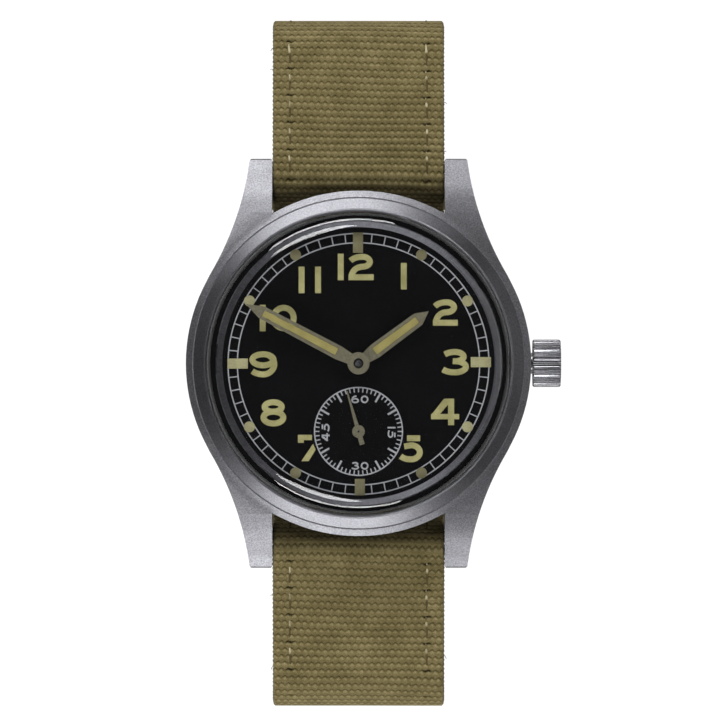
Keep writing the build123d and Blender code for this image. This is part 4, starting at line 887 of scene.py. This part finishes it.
under_level = 30.15
strap_corners = [
    (12.0, 4.65), (8.2, 4.65), (4.2, 6.35), (-7.5, 6.35), (-7.5, 3.35), (35.35, 3.35), (35.35, 30.37),
    (18.84, 34.49), (16.34, under_level), (-16.34, under_level), (-18.84, 34.49), (-35.35, 30.37),
    (-35.35, 2.45), (-15.5, 2.45), (-7.5, 1.85), (26.0, 1.85)]
strap_radii = [0.65, 0.65, 1.5, 1.5, 4.4, 4.4, 1.6, 2.0, 2.0, 1.6, 4.4, 4.4, 4.4, 4.4]
strap_line = webbing_line(strap_corners, strap_radii, weft_pitch / 4)
canvas = webbing("khaki_canvas", linear(48, 41, 24), linear(115, 104, 67), linear(174, 161, 118))
under_case = min(range(len(strap_line)), key=lambda row: (
    abs(strap_line[row][0].x) + abs(strap_line[row][0].y - under_level)))
upper_line, lower_line = strap_line[:under_case + 1], strap_line[under_case:]
tip_radius = 7.2


def rounded_tip(row):
    """Half width of the tail: a round cut over the last few millimetres."""
    left = (len(lower_line) - 1 - row) * weft_pitch / 4
    if left >= tip_radius:
        return strap_width / 2
    return strap_width / 2 - tip_radius + math.sqrt(max(tip_radius ** 2 - (tip_radius - left) ** 2, 0.04))


def cut_from(target, name, shape):
    """Cuts a closed bmesh out of a mesh object, for good."""
    cutter = solid_object(name, shape)
    modifier = target.modifiers.new(name, "BOOLEAN")
    modifier.operation, modifier.object, modifier.solver = "DIFFERENCE", cutter, "MANIFOLD"
    cut = final_mesh(target)
    target.modifiers.clear()
    target.data = cut
    bpy.data.objects.remove(cutter)


def slot_cutter(shape, centre_y, low, high, width, length):
    """Adds an upright slot with round ends to a cutter."""
    made = bmesh.ops.create_cone(
        shape, cap_ends=True, segments=24, radius1=width / 2 * mm, radius2=width / 2 * mm,
        depth=(high - low) * mm, matrix=Matrix.Translation((0, centre_y * mm, (low + high) / 2 * mm)))
    for vert in made["verts"]:
        ahead = vert.co.y - centre_y * mm
        if abs(ahead) > 1e-7:
            vert.co.y += math.copysign((length - width) / 2 * mm, ahead)


stitch_rows, rows_before, rows_after = 16, 64, 50
needle_holes = set(range(rows_before, len(strap_line) - rows_after, stitch_rows))
weave_relief = 0.09
strap_upper = piece("strap_upper", webbing_shape(
    upper_line, strap_width, strap_thickness, weave_relief, strap_space, holes=needle_holes),
    canvas, "case", 75.0)
strap_lower = piece("strap_lower", webbing_shape(
    lower_line, strap_width, strap_thickness, weave_relief, strap_space, first_row=under_case,
    tip=rounded_tip, holes=needle_holes), canvas, "case", 75.0)
tongue_slot = bmesh.new()
bmesh.ops.create_cube(tongue_slot, size=1.0, matrix=Matrix.Translation((0, -6.65 * mm, 5.1 * mm))
                      @ Matrix.Diagonal((2.6 * mm, 4.3 * mm, 5.1 * mm, 1)))
cut_from(strap_upper, "tongue_slot", tongue_slot)
hole_y, hole_spacing, hole_width, hole_length = -10.9, 7.0, 2.2, 4.0
for slot_number in range(-2, 4):
    tail_slot = bmesh.new()
    slot_y = hole_y + slot_number * hole_spacing
    slot_top = 3.7 if slot_y < -7.5 else 2.6
    slot_cutter(tail_slot, slot_y, 0.6, slot_top, hole_width, hole_length)
    cut_from(strap_lower, "tail_slot", tail_slot)
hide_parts("strap")
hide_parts("strap")

# Stitches: a lockstitch in waxed cotton thread along both edges, from needle hole to needle hole. It
# is brown like the webbing, with a painted highlight on one end of each stitch, stronger on the right seam.

thread, thread_shader = finish_named("stitch_thread", 0.75, specular=0.2)
thread_space = object_space(thread)
end_highlight = node_in(thread, "Attribute", attribute_name="end_highlight", attribute_type="GEOMETRY")
thread_tone = math_of(thread, "ADD", math_of(thread, "MULTIPLY", noise(
    thread, thread_space, 0.25 * mm, 2.0, 0.6), 0.5), end_highlight.outputs["Fac"])
thread_colour = ramp(thread, thread_tone, (0.15, linear(78, 66, 40)), (0.35, linear(104, 91, 58)),
                     (0.9, linear(204, 194, 160)))
wire(thread, thread_colour, thread_shader.inputs["Base Color"])
bump(thread, thread_shader, (noise(thread, thread_space, 0.09 * mm, 2.0), 0.03 * mm, 0.6))
stitch_radius, stitch_length = 0.14, 2.8
random.seed(11)


def stitch_row(shape, across, side):
    """Adds the stitches of one seam on one face of the strap."""
    for hole in sorted(needle_holes):
        middle, heading = strap_line[hole + stitch_rows // 2]
        if strap_line[hole][1].dot(strap_line[hole + stitch_rows][1]) < 0.85:
            continue
        normal = Vector((-heading.y, heading.x)) * side
        at = middle + normal * (strap_thickness / 2 - 0.06)
        place = Matrix.Translation(strap_space(across + random.uniform(-0.04, 0.04), at) * mm)
        axes = Matrix(((1, 0, 0), (0, heading.x, heading.y), (0, normal.x, normal.y))).transposed()
        yaw = Matrix.Rotation(random.uniform(-0.05, 0.05), 4, "Z")
        made = bmesh.ops.create_uvsphere(shape, u_segments=8, v_segments=11, radius=stitch_radius * mm)
        # Painted highlight: the back end of each stitch is made paler, more so on the right seam.
        end_highlight_share = random.uniform(0.3, 0.75) + (0.15 if across > 0 else 0.0)
        for vert in made["verts"]:
            share = vert.co.z / (stitch_radius * mm)
            vert[end_highlight_layer] = end_highlight_share if share < -0.4 else 0.0
            slant = 0.09 * mm * min(0.0, share + 0.2)
            vert.co = Vector((vert.co.x + slant, share * stitch_length / 2 * mm,
                              vert.co.y * 0.8 - 0.12 * mm * share ** 2))
        bmesh.ops.transform(shape, matrix=place @ axes.to_4x4() @ yaw, verts=made["verts"])


stitches = bmesh.new()
end_highlight_layer = stitches.verts.layers.float.new("end_highlight")
for seam_side in (-1, 1):
    for face_side in (-1, 1):
        stitch_row(stitches, seam_side * seam_x, face_side)
bmesh.ops.recalc_face_normals(stitches, faces=stitches.faces)
piece("strap_stitches", stitches, thread, "case", 80.0)

# Loose fibres: a few short ends of cotton that have worked out of the selvedges, each a fine curl with
# its root in the cloth.

fibres = bmesh.new()
for fibre_x, fibre_y, fibre_out, fibre_along in (
        (-9.0, 33.0, -0.3, -0.2), (-9.0, 30.6, -0.4, 0.25), (9.0, 27.2, 0.35, 0.05), (9.0, 22.0, 0.25, 0.2),
        (-9.0, -24.4, -0.3, 0.2), (9.0, -30.6, 0.3, -0.25), (-9.0, -31.8, -0.25, -0.2)):
    root_z = 33.0 - (abs(fibre_y) - 21.0) * 0.25
    curl = bpy.data.curves.new("fibre", "CURVE")
    curl.dimensions, curl.bevel_depth, curl.bevel_resolution = "3D", 0.03 * mm, 1
    curl_line = curl.splines.new("NURBS")
    curl_line.points.add(3)
    for number, point in enumerate(curl_line.points):
        share = number / 3
        point_x = fibre_x + fibre_out * (share - 0.35)
        point_y = fibre_y + fibre_along * share + 0.12 * math.sin(4 * share)
        point.co = (point_x * mm, point_y * mm, (root_z + 0.2 * share) * mm, 1.0)
    curl_line.order_u = 3
    curl_line.use_endpoint_u = True
    curl_object = linked("fibre", curl)
    fibres.from_mesh(bpy.data.meshes.new_from_object(curl_object))
    bpy.data.objects.remove(curl_object)
piece("loose_fibres", fibres, thread, "case", 80.0)

# Keepers: loops of the same webbing, thinner, that hold the strap's free end down. One is sewn to the
# strap behind the buckle, the other slides on it.

keeper_canvas = webbing("keeper_canvas", linear(47, 40, 23), linear(112, 102, 66), linear(168, 155, 114))
keeper_thickness, keeper_relief, keeper_corner = 1.0, 0.1, 0.5


def keeper_shape(middle_y, width):
    """A woven loop round the strap's layers."""

    def keeper_space(across, point):
        """The keeper runs in the XZ plane, with its width along Y."""
        return Vector((point.x, middle_y + across, point.y))

    half, low, high = 9.725, 0.5, 4.7
    corners = [(0.0, low), (half, low), (half, high), (-half, high), (-half, low), (0.0, low)]
    length = 4 * half + 2 * (high - low) - (8 - math.tau) * keeper_corner
    count = 8 * round(length / (weft_pitch / 4) / 8)
    line = webbing_line(corners, [keeper_corner] * 4, length / count)[:count]
    return webbing_shape(line, width, keeper_thickness, keeper_relief, keeper_space, closed=True)


for keeper_name, keeper_y, keeper_width, keeper_body in (
        ("fixed_keeper", 0.0, 6.0, "case"), ("sliding_keeper", 19.0, 5.0, "keeper")):
    keeper = piece(keeper_name + "_webbing", keeper_shape(keeper_y, keeper_width), keeper_canvas,
                   keeper_body, 75.0)
    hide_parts(keeper_name)

# Buckle: a pressed steel frame on a round bar, with a bent tongue, all blasted and softened at the
# edges by tumbling.

buckle_grain = blasted_steel("buckle_blasted", linear(108, 107, 106), linear(172, 170, 168), 0.42)
for node, body, softening in (("buckle_frame", "buckle", 0.12), ("buckle_bar", "buckle", 0.08),
                              ("buckle_tongue", "tongue", 0.08)):
    part = copy_of(node)
    bevel_sharp(part, softening * mm, 60, 3)
    part_piece = piece(node + "_tumbled", part, buckle_grain, body, 35.0)
    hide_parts(node)

# Studio: a pale table that fades into a white room, with the camera straight above the dial. Two long
# soft lamps stand low over 12 and 6 o'clock, with small high ones beside them and a broad one at the right.

floor_shape = bmesh.new()
bmesh.ops.create_grid(floor_shape, x_segments=1, y_segments=1, size=3.0)
bmesh.ops.translate(floor_shape, vec=(0, 0, -0.05 * mm), verts=floor_shape.verts)
table_object = mesh_object("studio_table", floor_shape)
table_paint, table_shader = finish_named("table_white", 0.9, specular=0.1)
table_shader.inputs["Base Color"].default_value = (0.86, 0.86, 0.86, 1.0)
table_path = node_in(table_paint, "LightPath").outputs
table_seen = math_of(table_paint, "MAXIMUM", table_path["Is Camera Ray"], table_path["Is Transmission Ray"])
table_part = math_of(table_paint, "MULTIPLY", table_seen, 0.88)
table_glow = node_in(table_paint, "Emission", {"Color": (1, 1, 1, 1), "Strength": 1.12})
table_mix = mix_by(table_paint, table_part, table_shader.outputs["BSDF"], table_glow.outputs["Emission"])
wire(table_paint, table_mix, table_paint.node_tree.nodes["Material Output"].inputs["Surface"])
table_object.data.materials.append(table_paint)

world = bpy.data.worlds.new("studio")
world.use_nodes = True
bpy.context.scene.world = world
room = world.node_tree.nodes["Background"]
room.inputs["Color"].default_value = (0.5, 0.5, 0.51, 1.0)
room.inputs["Strength"].default_value = 0.08
white_room = node_in(world, "Background", {"Color": (1, 1, 1, 1)})
room_seen = node_in(world, "LightPath").outputs["Is Camera Ray"]
room_mix = mix_by(world, room_seen, room.outputs["Background"], white_room.outputs["Background"])
wire(world, room_mix, world.node_tree.nodes["World Output"].inputs["Surface"])


def softbox(name, place, target, width, height, power):
    """A rectangular lamp that faces a point."""
    lamp = bpy.data.lights.new(name, "AREA")
    lamp.shape = "RECTANGLE"
    lamp.size, lamp.size_y, lamp.energy = width, height, power
    made = linked(name, lamp)
    made.location = place
    made.rotation_euler = (Vector(target) - Vector(place)).to_track_quat("-Z", "Y").to_euler()


dial_centre = (0.0, 0.0, 0.037)
softbox("key_top", (-0.09, 0.424, 0.287), dial_centre, 0.42, 0.09, 1.85)
softbox("key_bottom", (-0.07, -0.428, 0.287), dial_centre, 0.42, 0.09, 1.72)
softbox("glint_top", (-0.064, 0.176, 0.5), dial_centre, 0.12, 0.05, 0.22)
softbox("glint_bottom", (-0.058, -0.178, 0.5), dial_centre, 0.12, 0.05, 0.22)
softbox("fill_right", (0.3, 0.05, 0.38), dial_centre, 0.3, 0.36, 0.24)

camera_data = bpy.data.cameras.new("camera")
camera_data.sensor_width = 36.0
camera_data.lens = 480.5
camera_data.clip_start, camera_data.clip_end = 0.01, 10.0
camera = linked("camera", camera_data)
camera.location = (0.156 * mm, 0.343 * mm, 1.0373)
camera.rotation_euler = (0.0, 0.0, 0.0)
bpy.context.scene.camera = camera
bpy.context.scene.view_settings.view_transform = "Standard"
